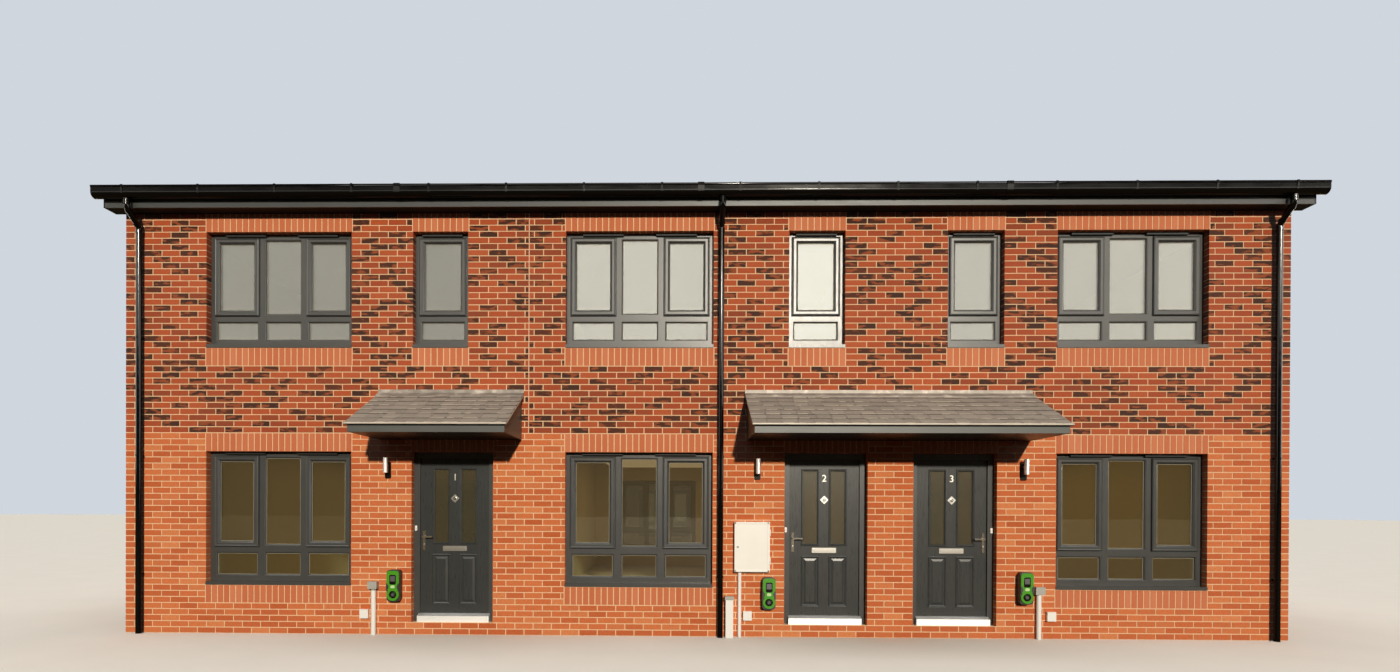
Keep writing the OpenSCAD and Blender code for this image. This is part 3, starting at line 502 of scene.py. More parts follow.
# %% Slate and lead finishes
def slate_finish(name, codes, bloom):
    """Cleft stone: a ramp of tones from slate to slate, and a paler bloom on the ripples of each face."""
    finish = new_finish(name, {"Roughness": 0.68, "Specular IOR Level": 0.35})
    cleft = noise(finish, spot(finish), 40, 6, distortion=0.6)
    dust = remap(finish, cleft, 0.35, 0.75, 0, 0.5)
    wear(finish, {"Base Color": blend(finish, dust, ramp(finish, tone(finish), codes), bloom),
                  "Normal": relief(finish, cleft, 0.5, 0.006)})
    return finish


canopy_slate = slate_finish("moulded_canopy_slate", ["#7d736a", "#897f75", "#958b81", "#82786f"], "#a29a92")
roof_slate = slate_finish("grey_roof_slate", ["#3a3c41", "#505156", "#5f5f62", "#46474c"], "#696a6c")
lead = new_finish("weathered_sheet_lead", {"Metallic": 0.25})
weather = noise(lead, spot(lead), 120, 5)
wear(lead, {"Base Color": ramp(lead, weather, {0: "#655f58", 0.45: "#7c746b", 0.58: "#90877e", 0.68: "#b4aba0",
                                               1: "#c8c0b4"}),
            "Roughness": remap(lead, weather, 0, 1, 0.35, 0.6), "Normal": relief(lead, weather, 0.6, 0.008)})
dress(roof_slate, "front_roof_slope", "back_roof_slope")
dress(lead, "canopy_flashings")

# %% [markdown]
# ## Roof slates
# The roof is pitched at 22.5 degrees. Slates of 300 mm show 250 mm each, and every course covers the joints of
# the one below. They are thin tilted plates that lie on the CAD slope, from the gutter to the ridge tiles.

# %% Cover both slopes
half_roof, slope_angle = 7.1975, math.radians(22.5)
roof_edge, slope_top = 4.450, roof_foot + 0.2219
slope_length = roof_edge / math.cos(slope_angle) - 0.162
roof = roof_edge, slope_top - roof_edge * roof_rise, slope_angle


def on_slope(plane, *points):
    """A section on a plane (eaves y, eaves z, angle), from points (up the slope, lifted off it)."""
    eaves_y, eaves_z, angle = plane
    return [(eaves_y - up * math.cos(angle) + lift * math.sin(angle),
             eaves_z + up * math.sin(angle) + lift * math.cos(angle)) for up, lift in points]


def cover_slope(side, seed):
    pile, chance = Pile(), random.Random(seed)
    gauge, width, thick = 0.250, 2 * half_roof / 48, 0.006
    for row in range(math.ceil((slope_length + 0.03) / gauge)):
        foot = row * gauge - 0.03
        head = min(foot + gauge + 0.05, slope_length)
        start = -half_roof - (width / 2 if row % 2 else 0)
        for i in range(49 if row % 2 else 48):
            x0 = max(start + i * width + 0.002, -half_roof)
            x1 = min(start + (i + 1) * width - 0.002, half_roof)
            lift = 0.006 + chance.uniform(0, 0.001)
            plate = on_slope(roof, (foot, lift), (foot, lift + thick), (head, thick), (head, 0.0005))
            pile.bar(side, x0, x1 - x0, plate, tone=chance.random())
    return pile


cover_slope(-1, 21).piece("front_roof_slates", [roof_slate], "slate")
cover_slope(1, 22).piece("back_roof_slates", [roof_slate], "slate")

# %% [markdown]
# ## Ridge tiles
# Slate-grey angle tiles of 450 mm cap the ridge end to end. The CAD has them as one long angle, so single tiles
# with a narrow joint replace it, on the same section.

# %% Ridge tiles
run, drop = 0.160 * math.cos(slope_angle), 0.160 * math.sin(slope_angle)
crown, thick = slope_top + 0.0003, 0.018 / math.cos(slope_angle)
half_tile = [(0, crown), (run, crown - drop), (run, crown - drop + thick), (0, crown + thick)]
ridge, chance = Pile(), random.Random(23)
tiles = 32
pitch = 2 * half_roof / tiles
for i in range(tiles):
    for side in (1, -1):
        ridge.bar(side, -half_roof + i * pitch, pitch - 0.005, half_tile, tone=chance.random())
ridge_piece = ridge.piece("angle_ridge_tiles", [roof_slate], "slate")
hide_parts("ridge_tiles")

# %% [markdown]
# ## Canopy roofs
# Each canopy is one glass-fibre moulding made to look like seven courses of small slates. It has steps at
# the courses, grooves between the slates and a rounded roll at the eaves, painted pale as a highlight, with
# painted shade on its underside. Slates about 180 mm wide, each a little different, lie on a core, and together
# they fill the thickness of the CAD slab. Each course ends in an edge of 5 mm, and a dark strip of painted shade
# fills the step below it, so that the courses show from the street. On many slates a pale strip on the edge is a
# painted highlight.

# %% Sizes and one course of a canopy
canopies = {"single": (-3.049, 1.800), "double": (2.2915, 3.475)}
canopy_z, canopy_depth, canopy_angle = 2.967, 0.920, math.radians(27.3)
canopy_length = canopy_depth / math.cos(canopy_angle)
canopy = half_depth + canopy_depth, canopy_z - canopy_length * math.sin(canopy_angle), canopy_angle
canopy_rows, nose = 7, 0.026


def canopy_course(pile, chance, row, ends):
    """One course: slates of chance widths, a painted highlight on the edge of six in ten, and painted shade below.
    """
    gauge = (canopy_length - nose) / canopy_rows
    foot = nose + row * gauge
    head = min(foot + gauge + 0.02, canopy_length - 0.012)
    x = ends[0] + 0.001
    while x < ends[1] - 0.002:
        x1 = min(x + chance.uniform(0.165, 0.200), ends[1] - 0.001)
        x1 = ends[1] - 0.001 if ends[1] - x1 < 0.06 else x1
        top = -chance.uniform(0.0, 0.0015)
        slate = on_slope(canopy, (foot + 0.025, -0.018), (foot + 0.025, -0.007), (foot, -0.005),
                         (foot + 0.002, top), (head, top - 0.0115), (head, -0.018))
        pile.bar(-1, x, x1 - x - 0.004, slate, 0, chance.random())
        # A pale strip on the edge of six slates in ten is a painted highlight.
        if chance.random() < 0.6:
            highlight_strip = on_slope(canopy, (foot - 0.0005, -0.0045), (foot + 0.001, 0.0003), (foot + 0.007, 0.0003),
                             (foot + 0.007, -0.003))
            pile.bar(-1, x + 0.001, (x1 - x - 0.006) * chance.uniform(0.4, 1), highlight_strip, 1)
        x = x1
    # A near-black strip in the step below each edge is painted shade.
    if row:
        shade_strip = on_slope(canopy, (foot + 0.001, -0.0105), (foot + 0.024, -0.0125), (foot + 0.024, -0.014),
                         (foot + 0.001, -0.014))
        pile.bar(-1, ends[0] + 0.001, ends[1] - ends[0] - 0.002, shade_strip, 2)


# %% Canopy finishes and roofs
# The pale coat of the eaves roll and the slate edges is a painted highlight, and its faces that look down are
# painted shade.
painted_highlight_and_shade = new_finish("canopy_gelcoat_painted_highlight_and_shade", {"Roughness": 0.4})
coat = ramp(painted_highlight_and_shade, noise(painted_highlight_and_shade, spot(painted_highlight_and_shade), 90, 4), ["#a69c8f", "#d4cabb"])
wear(painted_highlight_and_shade, {"Base Color": blend(painted_highlight_and_shade, faces_down(painted_highlight_and_shade), coat, "#121110")})
# The near-black finish in the steps is painted shade.
painted_step_shade = new_finish("painted_shade_in_the_steps", {"Roughness": 0.9, "Specular IOR Level": 0.1})
wear(painted_step_shade, {"Base Color": ramp(painted_step_shade, noise(painted_step_shade, spot(painted_step_shade), 60, 3),
                                     {0: "#0e0c0a", 0.35: "#14110e", 1: "#3a322a"})})
eaves_roll = arc(0.0145, 90, 22.5, 9, (0.018, -0.015))
core = on_slope(canopy, (canopy_length - 0.014, -0.014), (0.032, -0.014), *eaves_roll,
                (canopy_length - 0.014, -0.0295))
for name, (middle, width) in canopies.items():
    pile, chance = Pile(), random.Random(31)
    ends = middle - width / 2, middle + width / 2
    for row in range(canopy_rows):
        canopy_course(pile, chance, row, ends)
    pile.bar(-1, ends[0], width, core, 1)
    canopy_piece = pile.piece(f"{name}_canopy_slates", [canopy_slate, painted_highlight_and_shade, painted_step_shade], "slate")
    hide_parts("canopy_roofs")

# %% [markdown]
# ## Plastics
# Windows, doors, gutters and boxes are all plastic, and each is made in its own way. The window profiles are
# extruded uPVC with a printed woodgrain foil, the door skins are moulded glass fibre, the gutters and boards
# are extrusions from gloss to matt, and the small boxes are injection moulded. They differ in gloss and in
# grain, and dust lies on all of them in clouds of about 350 mm.

# %% Plastic finishes
def plastic(name, code, roughness, grain_mm, stretch, depth, worn, spread=0.35, shine=0.5, painted_shade_below=None):
    """Moulded or extruded plastic: a fine grain, stretched along the profile, and a dusty bloom."""
    finish = new_finish(name, {"IOR": 1.53, "Specular IOR Level": shine})
    grain = noise(finish, spot(finish, stretch), grain_mm, 3)
    dust = remap(finish, noise(finish, spot(finish), 350, 4), 0.35, 0.7, 0, spread)
    colour = blend(finish, dust, code, worn)
    # On demand, faces that look down turn near-black: painted shade.
    if painted_shade_below:
        colour = blend(finish, faces_down(finish), colour, painted_shade_below)
    gloss = remap(finish, grain, 0, 1, roughness - 0.06, roughness + 0.08)
    wear(finish, {"Base Color": colour, "Roughness": gloss, "Normal": relief(finish, grain, 0.3, depth)})
    return finish


along_x, along_y, even = (0.1, 1, 1), (1, 0.1, 1), (1, 1, 1)
window_foil = plastic("anthracite_woodgrain_foil", "#3f4040", 0.30, 12, (1, 1, 0.12), 0.0008, "#504f4c",
                      shine=0.38)
door_skin = plastic("grained_glass_fibre_skin", "#323434", 0.28, 16, (1, 1, 0.1), 0.0012, "#3e3f3e", shine=0.35)
gutter_black = plastic("gloss_black_extrusion", "#050506", 0.12, 60, (0.2, 1, 1), 0.0001, "#0a0a0a", shine=0.2)
soffit_black = plastic("matt_black_board", "#0a0909", 0.65, 40, along_x, 0.0005, "#141211", shine=0.15)
verge_black = plastic("satin_black_board", "#08080a", 0.45, 40, along_y, 0.0005, "#121213", shine=0.25)
board_grey = plastic("satin_grey_board", "#3a3d3d", 0.4, 40, along_x, 0.0005, "#454644", shine=0.35)
# The canopy boards take painted shade on their faces that look down.
canopy_grey = plastic("satin_canopy_board", "#4d504f", 0.4, 40, along_x, 0.0005, "#5b5d5a", shine=0.4,
                      painted_shade_below="#0d0c0b")
charger_black = plastic("textured_black_polycarbonate", "#161917", 0.45, 6, even, 0.0004, "#23262a")
charger_green = plastic("gloss_green_polycarbonate", "#479a1e", 0.25, 30, even, 0.0002, "#52a42a", 0.2)
white_box = plastic("moulded_white_polyester", "#f2f0ec", 0.45, 5, even, 0.0003, "#e6e2da", 0.3)
black_gloss = plastic("black_acrylic", "#050506", 0.12, 50, even, 0.0001, "#0a0a0b", 0.2)
gasket_black = plastic("extruded_black_rubber", "#0c0c0c", 0.6, 8, even, 0.0001, "#161616")
spacer_grey = plastic("warm_edge_spacer", "#85806f", 0.6, 5, even, 0.0001, "#948e7c", shine=0.2)

# %% [markdown]
# The risers of the two outer houses have grey caps on white pipes. Both are one CAD node, so the finish changes
# at the height of the caps, and only out there, because the meter's conduit between them is white to its top.

# %% White pipes with grey caps
white_pipe, grey_cap = "#f0efec", "#a9a9a2"
pipe_white = plastic("white_pipe_plastic", white_pipe, 0.4, 8, (1, 1, 0.2), 0.0003, "#dedbd5", 0.4)
pipe_grey = plastic("grey_cap_plastic", grey_cap, 0.4, 8, (1, 1, 0.2), 0.0003, "#969389", 0.5)
outer_pipe = reckon(pipe_white, "GREATER_THAN", away(pipe_white, "X"), 3.9)
capped = reckon(pipe_white, "GREATER_THAN", part_of(pipe_white, "Z"), 0.5425)
wear(pipe_white, {"Base Color": blend(pipe_white, reckon(pipe_white, "MULTIPLY", outer_pipe, capped), white_pipe,
                                      grey_cap)})
dress(window_foil, "front_window_frames", "front_sashes", "back_window_frames", "door_frames")
dress(door_skin, "door_1_leaf", "door_2_leaf", "door_3_leaf", "back_doors")
dress(gutter_black, "gutters", "downpipes")
dress(verge_black, "bargeboards")
dress(soffit_black, "soffits")
dress(board_grey, "fascias")
dress(canopy_grey, "canopy_frames")
dress(charger_black, "car_chargers")
dress(charger_green, "charger_faces")
dress(white_box, "meter_box", "meter_door", "bell_pushes")
dress(pipe_white, "service_risers")

# %% [markdown]
# ## Metals
# Thresholds are mill-finish aluminium, door fittings are chromed zinc, and the wall lights are brushed
# stainless steel on a black plate. A metal's colour is the colour of its reflection, so metallic is 1 and only
# gloss differs: satin chrome is soft, while brushing stretches every highlight across the scratches. The levers
# and their plates are polished, so a flat plate mirrors the dark street and only the round bar lights up.
# The plates share a CAD node with the satin letter plate, so they turn polished 300 mm from the door's middle.

# %% Metal finishes
def metal(name, code, roughness, scratch_mm, stretch, depth):
    """Bare metal: fine scratches, stretched along one way, that vary its gloss."""
    finish = new_finish(name, {"Base Color": linear(code), "Metallic": 1.0})
    scratch = noise(finish, spot(finish, stretch), scratch_mm, 3)
    wear(finish, {"Roughness": remap(finish, scratch, 0, 1, roughness * 0.7, roughness * 1.3),
                  "Normal": relief(finish, scratch, 0.25, depth)})
    return finish


aluminium = metal("mill_finish_aluminium", "#dededc", 0.5, 3, (0.05, 1, 1), 0.0003)
chrome = metal("satin_chromed_zinc", "#e4e2de", 0.26, 20, even, 0.0001)
mirror = metal("polished_chrome", "#d9d9d8", 0.1, 20, even, 0.00005)
number_metal = metal("brushed_number_zinc", "#b4b1aa", 0.45, 6, (1, 1, 0.2), 0.0001)
brushed = "#c4c2bd"
steel = metal("brushed_stainless_steel", brushed, 0.38, 2, (1, 1, 0.05), 0.0002)
back_plate = reckon(steel, "GREATER_THAN", part_of(steel, "Y"), -4.2975)
wear(steel, {"Base Color": blend(steel, back_plate, brushed, "#1b1a19")})
dress(aluminium, "thresholds")
dress(steel, "wall_lights")
for n, x in enumerate(doors, 1):
    plated = metal(f"door_{n}_chrome", "#c6c4bf", 0.26, 20, even, 0.0001)
    wear(plated, {"Roughness": remap(plated, away(plated, "X", x), 0.30, 0.31, 0.28, 0.08)})
    dress(plated, f"door_{n}_fittings")
    dress(mirror, f"door_{n}_lever")

# %% [markdown]
# ## Glass
# Sealed units have four reflecting faces and a low-emissivity coat. The CAD has one pane for each, so a
# higher IOR makes up for the missing faces. Shadow rays pass straight through, because otherwise the
# renderer would leave the rooms black, and a little unevenness bends the reflections as real glass does. The
# lights of the doors are obscure glass, rolled with a stipple of about 14 mm that blurs what is behind it.

# %% Glass
glass = new_finish("coated_sealed_glazing", {"Base Color": linear("#e9f0ea"), "Roughness": 0.0, "IOR": 1.75,
                                             "Transmission Weight": 1.0})
wear(glass, {"Normal": relief(glass, noise(glass, spot(glass), 600, 0), 0.02, 0.01)})
clear = add(glass, "BsdfTransparent", {"Color": linear("#dfe6e0")})
both = add(glass, "MixShader", {0: add(glass, "LightPath").outputs["Is Shadow Ray"],
                                1: glass.node_tree.nodes["Principled BSDF"].outputs[0], 2: clear.outputs[0]})
plug(glass, glass.node_tree.nodes["Material Output"], {"Surface": both.outputs[0]})
obscure = new_finish("stippled_obscure_glass", {"Base Color": linear("#968f70"), "Roughness": 0.2, "IOR": 1.52,
                                                "Transmission Weight": 0.88})
stipple = add(obscure, "TexVoronoi", {"Vector": spot(obscure), "Scale": 1000 / 14}, feature="SMOOTH_F1")
wear(obscure, {"Normal": relief(obscure, stipple.outputs["Distance"], 0.4, 0.002)})
dress(glass, "front_glass", "back_glass")
dress(obscure, "door_1_glass", "door_2_glass", "door_3_glass")

# %% [markdown]
# ## Lines of the windows
# Seen from the street, a window is a set of lines. Each sash has a thin raised edge that catches the light, with
# the black rubber of the rebate beside it. Rubber also holds the glass, and just inside it shows the dull grey
# spacer that keeps the two panes apart. All are rings of four prisms, only 5 to 16 mm wide. Hoods of moulded
# plastic cover the trickle vents.

# %% Rings and the lights of a window
def ring(pile, side, x, z, width, height, y, section, finish=0):
    """Four bars inside a rectangle at depth y, with a section of (inward, proud). The front has side -1."""
    for along, across, turn in ((width, height, 0), (height, width, 1)):
        for end in (-1, 1):
            outline = []
            for inward, proud_by in section:
                u, v = -along / 2, end * (across / 2 - inward)
                outline.append(Vector((x + (v if turn else u), side * (y + proud_by), z + (u if turn else v))))
            pile.prism(outline, Vector((0, 0, along)) if turn else Vector((along, 0, 0)), finish, closed=True)


def window_lights(width, height, low_height):
    """Middle x, middle z, width, height of each light of a window, and whether it opens."""
    columns = [(-0.575, 0.54, True), (0, 0.47, False), (0.575, 0.54, True)]
    if width == narrow:
        columns = [(0, width - 0.12, True)]
    tall = height - 0.23 - low_height
    for x, light_width, opens in columns:
        yield x, 0.1 + low_height / 2, light_width, low_height, False
        yield x, height - 0.06 - tall / 2, light_width, tall, opens


# %% Window lines and vent hoods
lines, hoods = Pile(), Pile()
rubber = [(0, 0), (0, 0.003), (0.005, 0)]
rebate = [(0, 0), (0, 0.002), (0.006, 0)]
edge = [(0, 0), (0.004, 0.0022), (0.008, 0.0045), (0.016, 0)]
spacer = [(0.005, 0), (0.005, 0.0004), (0.011, 0.0004), (0.011, 0)]
hood = [(4.186, 0), (4.213, 0.003), (4.217, 0.012), (4.217, 0.030), (4.212, 0.039), (4.186, 0.040)]
for side in (-1, 1):
    for x, width, foot, height, low_height in windows:
        for dx, dz, light_width, light_height, opens in window_lights(width, height, low_height):
            grow, pane_y = (-0.114, 4.177) if opens else (-0.032, 4.163)
            rings = [(grow, pane_y, rubber, 0), (grow, pane_y, spacer, 1)]
            if opens:
                rings += [(0.034, 4.185, rebate, 0), (0.007, 4.205, edge, 2)]
            for grow, y, section, finish in rings:
                ring(lines, side, x + dx, foot + dz, light_width + grow, light_height + grow, y, section, finish)
        for dx in (0,) if width == narrow else (-0.45, 0.45):
            hoods.bar(side, x + dx - 0.249, 0.498, [(y, foot + height - 0.001 - z) for y, z in hood])
lines.piece("window_lines", [gasket_black, spacer_grey, window_foil], "anthracite_upvc")
hoods.piece("trickle_vent_hoods", [gasket_black], "black_upvc")

# %% [markdown]
# ## Rainwater fittings and lead laps
# A plastic gutter is stiffened by a rolled bead along its front edge, and that bead catches a line of light. It
# hangs in brackets, about one each 900 mm, and its lengths of 3.6 m meet in unions. Both are straps that follow
# the section from the fascia round to the lip. Sheet lead comes in short lengths too, so each flashing shows a
# lap where one piece covers the next.

# %% Gutter beads, brackets and unions
gutter_y, gutter_z, gutter_r = 4.5325, 5.3125, 0.0627


def gutter_strap(pile, side, x, width, thick):
    """A strap at x, round the outside of the gutter from beside the fascia to over the front lip."""
    outer, inner = (arc(radius, -150, 15, 11, (gutter_y, gutter_z)) for radius in (gutter_r + thick, gutter_r))
    outer += [(4.6045, 5.356), (4.6045, 5.3945), (4.583, 5.3945), (4.583, 5.3918)]
    inner += [(4.6022, 5.360), (4.6022, 5.3918)]
    pile.bar(side, x - width / 2, width, outer + inner[::-1])


bead = [(4.594 + 0.008 * math.sin(turn), 5.376 - 0.0155 * math.cos(turn))
        for turn in (math.radians(15 * i) for i in range(13))]
beads, straps = Pile(), Pile()
for side in (-1, 1):
    beads.bar(side, -7.277, 14.554, bead)
    for i in range(16):
        gutter_strap(straps, side, -6.9 + 0.92 * i, 0.024, 0.003)
    for x in (-3.6, 0.0, 3.6):
        gutter_strap(straps, side, x, 0.075, 0.004)
beads.piece("gutter_beads", [gutter_black], "black_upvc", smooth=True)
straps.piece("gutter_brackets", [gutter_black], "black_upvc")


# %% Lead laps
def lead_line(off_wall, run_out, lift):
    """The line of a flashing: down the wall and out over the slates, this far off the wall and the slope."""
    slope = math.tan(canopy_angle)
    return [(half_depth + off_wall, canopy_z + 0.043), (half_depth + off_wall, canopy_z - off_wall * slope + lift),
            (half_depth + run_out, canopy_z - run_out * slope + lift),
            (half_depth + run_out, canopy_z - run_out * slope)]


laps = Pile()
for x in (-3.049, 1.13, 2.30, 3.46):
    laps.bar(-1, x, 0.1, lead_line(0.007, 0.0978, 0.0073) + lead_line(0.0088, 0.0993, 0.0091)[::-1])
laps.piece("lead_laps", [lead], "lead")

# %% [markdown]
# ## Small parts of the doors
# Door numbers are cut from brushed plate and fixed between the two lights of each door. They are text curves
# with Blender's own plain letters. The spyhole's lens, the lock cylinder under each lever and the bell's button
# are turned or moulded, so they are discs, one on the other. The lower panels have raised fields with sloping
# edges.

# %% Door numbers
for n, x in enumerate(doors, 1):
    text = bpy.data.curves.new(f"number_{n}", "FONT")
    text.body, text.size, text.extrude, text.bevel_depth = str(n), 0.118, 0.002, 0.0008
    text.align_x, text.align_y = "CENTER", "CENTER"
    text.materials.append(number_metal)
    number = new_object(f"number_{n}", text)
    number.location, number.rotation_euler = (x, -4.1632, 1.937), (math.radians(90), 0, 0)
    bpy.context.view_layer.update()
    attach(number, f"door_{n}")


# %% Discs and fields on the doors
def disc(radius, sides=28):
    """A circle as an outline."""
    return arc(radius, 0, 360 / sides, sides)


def field(pile, x, z, width, height, y, bevel, rise):
    """A raised field on a face at depth y: four bevels and a flat front."""
    low, high = ([Vector((x + u * (width / 2 - inset), -y - out, z + v * (height / 2 - inset)))
                  for u, v in ((-1, -1), (1, -1), (1, 1), (-1, 1))] for inset, out in ((0, 0.0002), (bevel, rise)))
    for i in range(4):
        pile.face([low[i], low[(i + 1) % 4], high[(i + 1) % 4], high[i]])
    pile.face(high)


buttons = Pile()
keyway = [(-0.001, -0.005), (0.001, -0.005), (0.001, 0.005), (-0.001, 0.005)]
for n, (x, hand) in enumerate(zip(doors, (1, 1, -1)), 1):
    fields, trim = Pile(), Pile()
    for side in (-1, 1):
        field(fields, x + side * 0.169, 0.6735, 0.156, 0.557, 4.160, 0.026, 0.0065)
    fields.piece(f"door_fields_{n}", [door_skin], "door_skin", body=f"door_{n}")
    lock_x, bell_x = x - hand * 0.385, x - hand * 0.475
    trim.boss(x, -4.182, 1.676, disc(0.0165), 0.0012, 1)
    trim.boss(x, -4.1832, 1.676, disc(0.0075), 0.001)
    trim.boss(lock_x, -4.169, 1.108, disc(0.0085), 0.004)
    trim.boss(lock_x, -4.173, 1.108, keyway, 0.0004, 1)
    trim.piece(f"door_trim_{n}", [chrome, black_gloss], "chrome", body=f"door_{n}")
    buttons.boss(bell_x, -4.199, 1.300, disc(0.0095), 0.0008, 1)
    buttons.boss(bell_x, -4.1998, 1.300, disc(0.0075), 0.0016)
buttons.piece("bell_buttons", [white_box, black_gloss], "white_plastic")

# %% [markdown]
# ## Faces of the car chargers
# The green surround is a figure of eight with two recesses. Black shells cover its waist at both sides. A black
# acrylic screen fills the upper loop, with a pale green bar below it that is a painted highlight, and the lower
# loop holds the charging socket: a black collar, a grey cap and the holes of its pins.

# %% Charger screens and sockets
def rounded(width, height, radius):
    """A rectangle with round corners as an outline."""
    corner = arc(radius, 0, 22.5, 5, (width / 2 - radius, height / 2 - radius))
    half = corner + [(-u, v) for u, v in corner[::-1]]
    return half + [(-u, -v) for u, v in half]


# The pale green bar is a painted highlight on the charger's waist.
painted_highlight_bar = plastic("pale_green_lens", "#c4e3a4", 0.3, 20, even, 0.0001, "#b3d592")
slate_cap = plastic("slate_grey_polycarbonate", "#55525a", 0.35, 10, even, 0.0002, "#66626a")
waist = [(0.0795, 0.036), (0.066, 0.024), (0.052, 0.004), (0.049, -0.014), (0.053, -0.032), (0.066, -0.052),
         (0.0795, -0.064)]
sockets, face_y = Pile(), -4.385
for x, z in ((-3.720, 0.608), (0.845, 0.541), (3.926, 0.620)):
    low = z - 0.1075
    sockets.boss(x, -4.3769, z + 0.076, rounded(0.079, 0.118, 0.016), 0.0090)
    sockets.boss(x, -4.3859, z + 0.086, rounded(0.058, 0.066, 0.006), 0.0006, 1)
    # This pale green bar is a painted highlight.
    sockets.boss(x, face_y, z - 0.012, rounded(0.052, 0.034, 0.012), 0.0025, 3)
    for side in (-1, 1):
        sockets.boss(x, face_y, z, [(side * u, v) for u, v in waist], 0.0035, 2)
    outer, inner = ([Vector((x + u, -4.3776, low + v)) for u, v in disc(radius, 40)]
                    for radius in (0.0462, 0.0302))
    for i in range(40):
        j = (i + 1) % 40
        sockets.face([outer[j], outer[i], inner[i], inner[j]])
    sockets.boss(x, face_y, low, disc(0.0296, 40), 0.0015)
    sockets.boss(x, face_y - 0.0015, low, disc(0.019, 32), 0.001, 1)
    for u, v in arc(0.0115, 0, 60, 6):
        sockets.boss(x + u, face_y - 0.0025, low + v, disc(0.0026, 12), 0.0003)
sockets.piece("charger_sockets", [black_gloss, slate_cap, charger_black, painted_highlight_bar], "black_plastic")

# %% [markdown]
# ## Meter lid, duct cap, movement joint and verge
# The lid of a meter box is moulded with a raised rim that stiffens it, and is shut by a quarter-turn lock with
# a triangular key. A cap of grey plastic sits on the service duct beside it. The strip in the movement joint is
# a sealant, tooled to a hollow with a wet finger, just behind the bricks. Boards close the roof's overhang at
# both gables.

# %% Meter lid and duct cap
lid_y, lock_x, lock_z = 4.356, 0.468, 1.100
lock = Pile()
ring(lock, -1, 0.637, 1.1005, 0.418, 0.601, lid_y, [(0, 0), (0.002, 0.0022), (0.018, 0.0022), (0.024, 0)], 2)
lock.boss(lock_x, -lid_y, lock_z, disc(0.014), 0.0025)
lock.boss(lock_x, -lid_y - 0.0025, lock_z, arc(0.007, 90, -120, 3), 0.0004, 1)
lock.piece("meter_lid_trim", [pipe_grey, black_gloss, white_box], "white_plastic", body="meter_lid")
cap = Pile()
lid = [(0.056, 0.0002), (0.056, 0.0352), (0.048, 0.042), (-0.048, 0.042), (-0.056, 0.0352), (-0.056, 0.0002)]
cap.boss(doors[1] - 1.174, -4.2795, 0.4605, lid, 0.0975, closed=True)
cap.piece("duct_cap", [pipe_grey], "white_plastic")

# %% Movement joint and verge soffits
sealant = plastic("buff_sealant", "#d8a987", 0.6, 10, even, 0.0005, "#c99a78")
strip, middle = Pile(), (movement[0] + movement[1]) / 2
hollow = [(-0.006, 0.0028), (-0.004, 0.0016), (0, 0.0010), (0.004, 0.0016), (0.006, 0.0028), (0.006, -0.001),
          (-0.006, -0.001)]
strip.prism([front(middle + u, band + 0.005, out) for u, out in hollow], Vector((0, 0, eaves - band - 0.006)),
            closed=True)
strip.piece("movement_joint", [sealant], "mixed_brick")
verge, overhang = Pile(), half_roof - half_row - 0.0004
verge_foot = roof_foot - 4.274 * roof_rise
board = [(4.274, verge_foot - 0.0005), (0, roof_foot - 0.0005), (0, roof_foot - 0.0095),
         (4.274, verge_foot - 0.0095)]
for x in (-half_roof + 0.0002, half_row + 0.0002):
    for side in (-1, 1):
        verge.bar(side, x, overhang, board)
verge.piece("verge_soffits", [verge_black], "black_upvc")

# %% [markdown]
# ## The floor
# The floor is plain and pale. An empty studio would shine in the windows where a real street is brown and dark,
# so the floor has hardly any gloss, and takes a darker colour for rays that reach it from a mirror or through
# glass. It has an overhead lamp of its own, because the sun only grazes it, and it throws no colour on the walls.

# %% Floor
floor_finish = new_finish("pale_floor", {"Roughness": 0.9, "Specular IOR Level": 0.1})
pale = ramp(floor_finish, noise(floor_finish, spot(floor_finish), 1000 / 1.2, 5), ["#dad6ce", "#e2ded6"])
rays = add(floor_finish, "LightPath").outputs
mirrored = blend(floor_finish, rays["Is Glossy Ray"], pale, "#6b593c")
wear(floor_finish, {"Base Color": blend(floor_finish, rays["Is Transmission Ray"], mirrored, "#30291b")})
ground = bpy.data.meshes.new("studio_floor")
ground.from_pydata([(-150, -150, 0), (150, -150, 0), (150, 150, 0), (-150, 150, 0)], [], [(0, 1, 2, 3)])
ground.materials.append(floor_finish)
floor = new_object("studio_floor", ground)
floor.visible_diffuse = False

# %% [markdown]
# ## Light
# A low sun, a little to the right, gives the short shadows under the eaves and beside the canopies. Wide panels
# stand high in front of the house as the bright sky that the upper windows mirror, with one above it and one at
# each side for the edges that look up or sideways. They are kept out of the matt surfaces, so the shadows stay
# deep. Three warm panels at street level light only the panes, as the other side of the street. Softer panels
# light both gables and the back, and a faint lamp in each house its rooms. The world is dim, and looks brighter
# to the camera alone, so that the dark eaves stand out.

# %% World and lamps
world = bpy.data.worlds.new("soft_studio")
world.use_nodes = True
seen = add(world, "LightPath").outputs["Is Camera Ray"]
plug(world, world.node_tree.nodes["Background"], {"Color": blend(world, seen, "#f0dcc0", "#dfe6ee"),
                                                  "Strength": remap(world, seen, 0, 1, 0.03, 0.85)})
bpy.context.scene.world = world


def lamp(name, kind, place, aim, code, skips=(), state="EXCLUDE", **settings):
    """A lamp that shines from a place towards an aim. It skips some pieces, or lights only those."""
    light = bpy.data.lights.new(name, kind)
    light.color = linear(code)[:3]
    for key, value in settings.items():
        setattr(light, key, value)
    made = new_object(name, light)
    made.location = place
    made.rotation_euler = (Vector(aim) - Vector(place)).to_track_quat("-Z", "Y").to_euler()
    made.visible_camera = False
    if skips:
        linked = made.light_linking.receiver_collection = bpy.data.collections.new(f"{name}_skips")
        for piece in skips:
            linked.objects.link(piece)
        for entry in linked.collection_objects:
            entry.light_linking.link_state = state
    return made


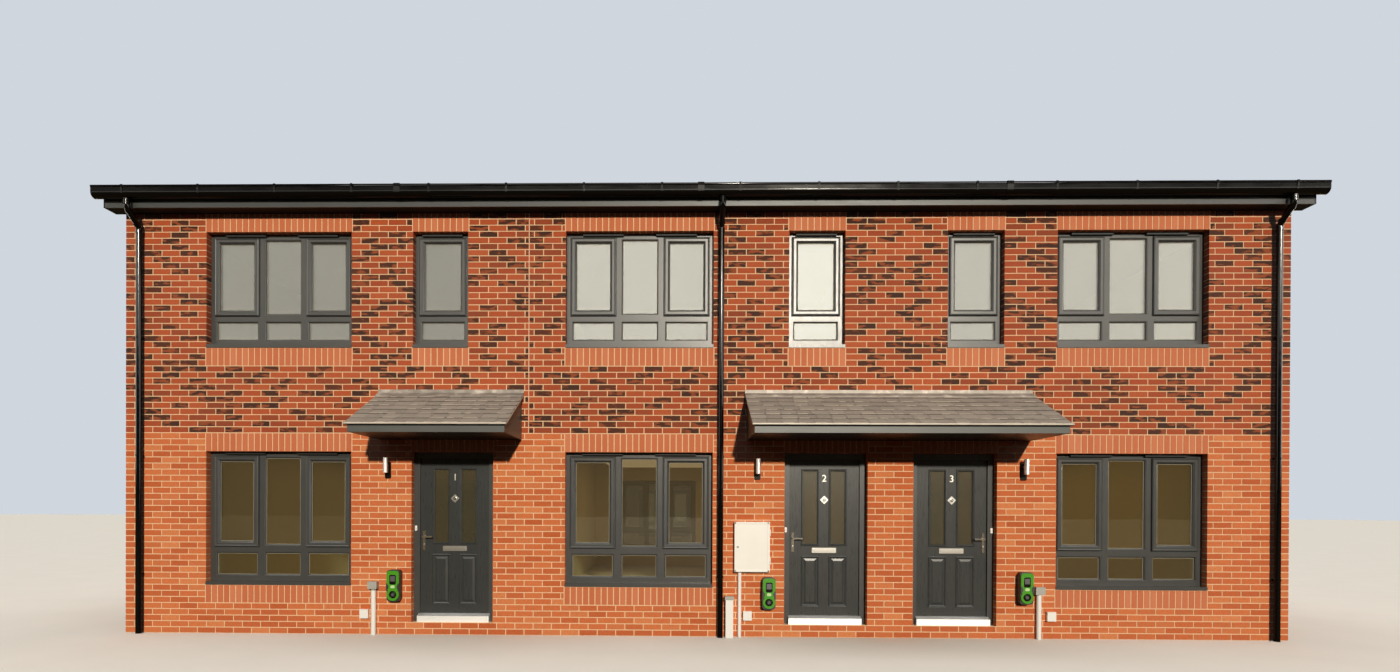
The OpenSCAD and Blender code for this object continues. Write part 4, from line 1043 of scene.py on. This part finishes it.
def panel(name, place, aim, width, height, power, code, skips=(), state="EXCLUDE"):
    """A rectangle of light, with its power in watts for each square metre."""
    return lamp(name, "AREA", place, aim, code, skips, state, shape="RECTANGLE", size=width, size_y=height,
                energy=power * width * height)


# %% Sun, sky, street and rooms
azimuth, elevation = math.radians(10), math.radians(17)
sun_place = Vector((math.sin(azimuth) * math.cos(elevation), -math.cos(azimuth) * math.cos(elevation),
                    math.sin(elevation))) * 30
panes, shaded = [nodes["front_glass"], nodes["back_glass"]], [floor, nodes["canopy_frames"]]
lamp("low_sun", "SUN", sun_place, (0, 0, 0), "#fff5e3", panes, energy=3.2, angle=math.radians(2))
lamp("floor_lamp", "SUN", (0, -8, 30), (0, -8, 0), "#ffffff", [floor], "INCLUDE", energy=2.2,
     angle=math.radians(60))
for name, x, width, power in (
        ("sky_left", -16.2, 15.6, 51 / 7), ("sky_middle", -2.5, 11.8, 100 / 7),
        ("sky_bright", 5.4, 4, 150 / 7), ("sky_right", 16.7, 18.6, 88 / 7)):
    panel(name, (x, -24, 10.6), (x, -4, 3), width, 5.6, power, "#fff8ea").visible_diffuse = False
for name, place, aim, width, height, power in (
        ("sky_above", (0, -14, 24), (0, -10, 0), 50, 24, 13), ("sun_side", (32, -17, 9), (0, -4, 4), 16, 12, 22),
        ("far_side", (-32, -17, 9), (0, -4, 4), 16, 12, 10)):
    panel(name, place, aim, width, height, power, "#f8f7f4", shaded).visible_diffuse = False
for name, x, width, power, code in (
        ("street_left", -22, 28, 0.45, "#e6e2c4"), ("street_middle", 1, 18, 1.25, "#ffd9a0"),
        ("street_right", 24, 28, 0.65, "#ffd9a0")):
    panel(name, (x, -24, 3.9), (x, -4, 3.9), width, 7.8, power, code, panes, "INCLUDE")
for name, place, aim, width in (
        ("left_panel", (-26, 6, 9), (-7, 0, 3), 20), ("right_panel", (26, 6, 9), (7, 0, 3), 20),
        ("back_panel", (0, 28, 11), (0, 4, 3), 36)):
    panel(name, place, aim, width, 12, 140 / 12, "#fff4e4", shaded).visible_transmission = False
for house, x in enumerate(houses, 1):
    panel(f"room_glow_{house}", (x, 0, 2.5), (x, 0, 0), 3.5, 6.0, 5 / 7, "#ffd9a0")
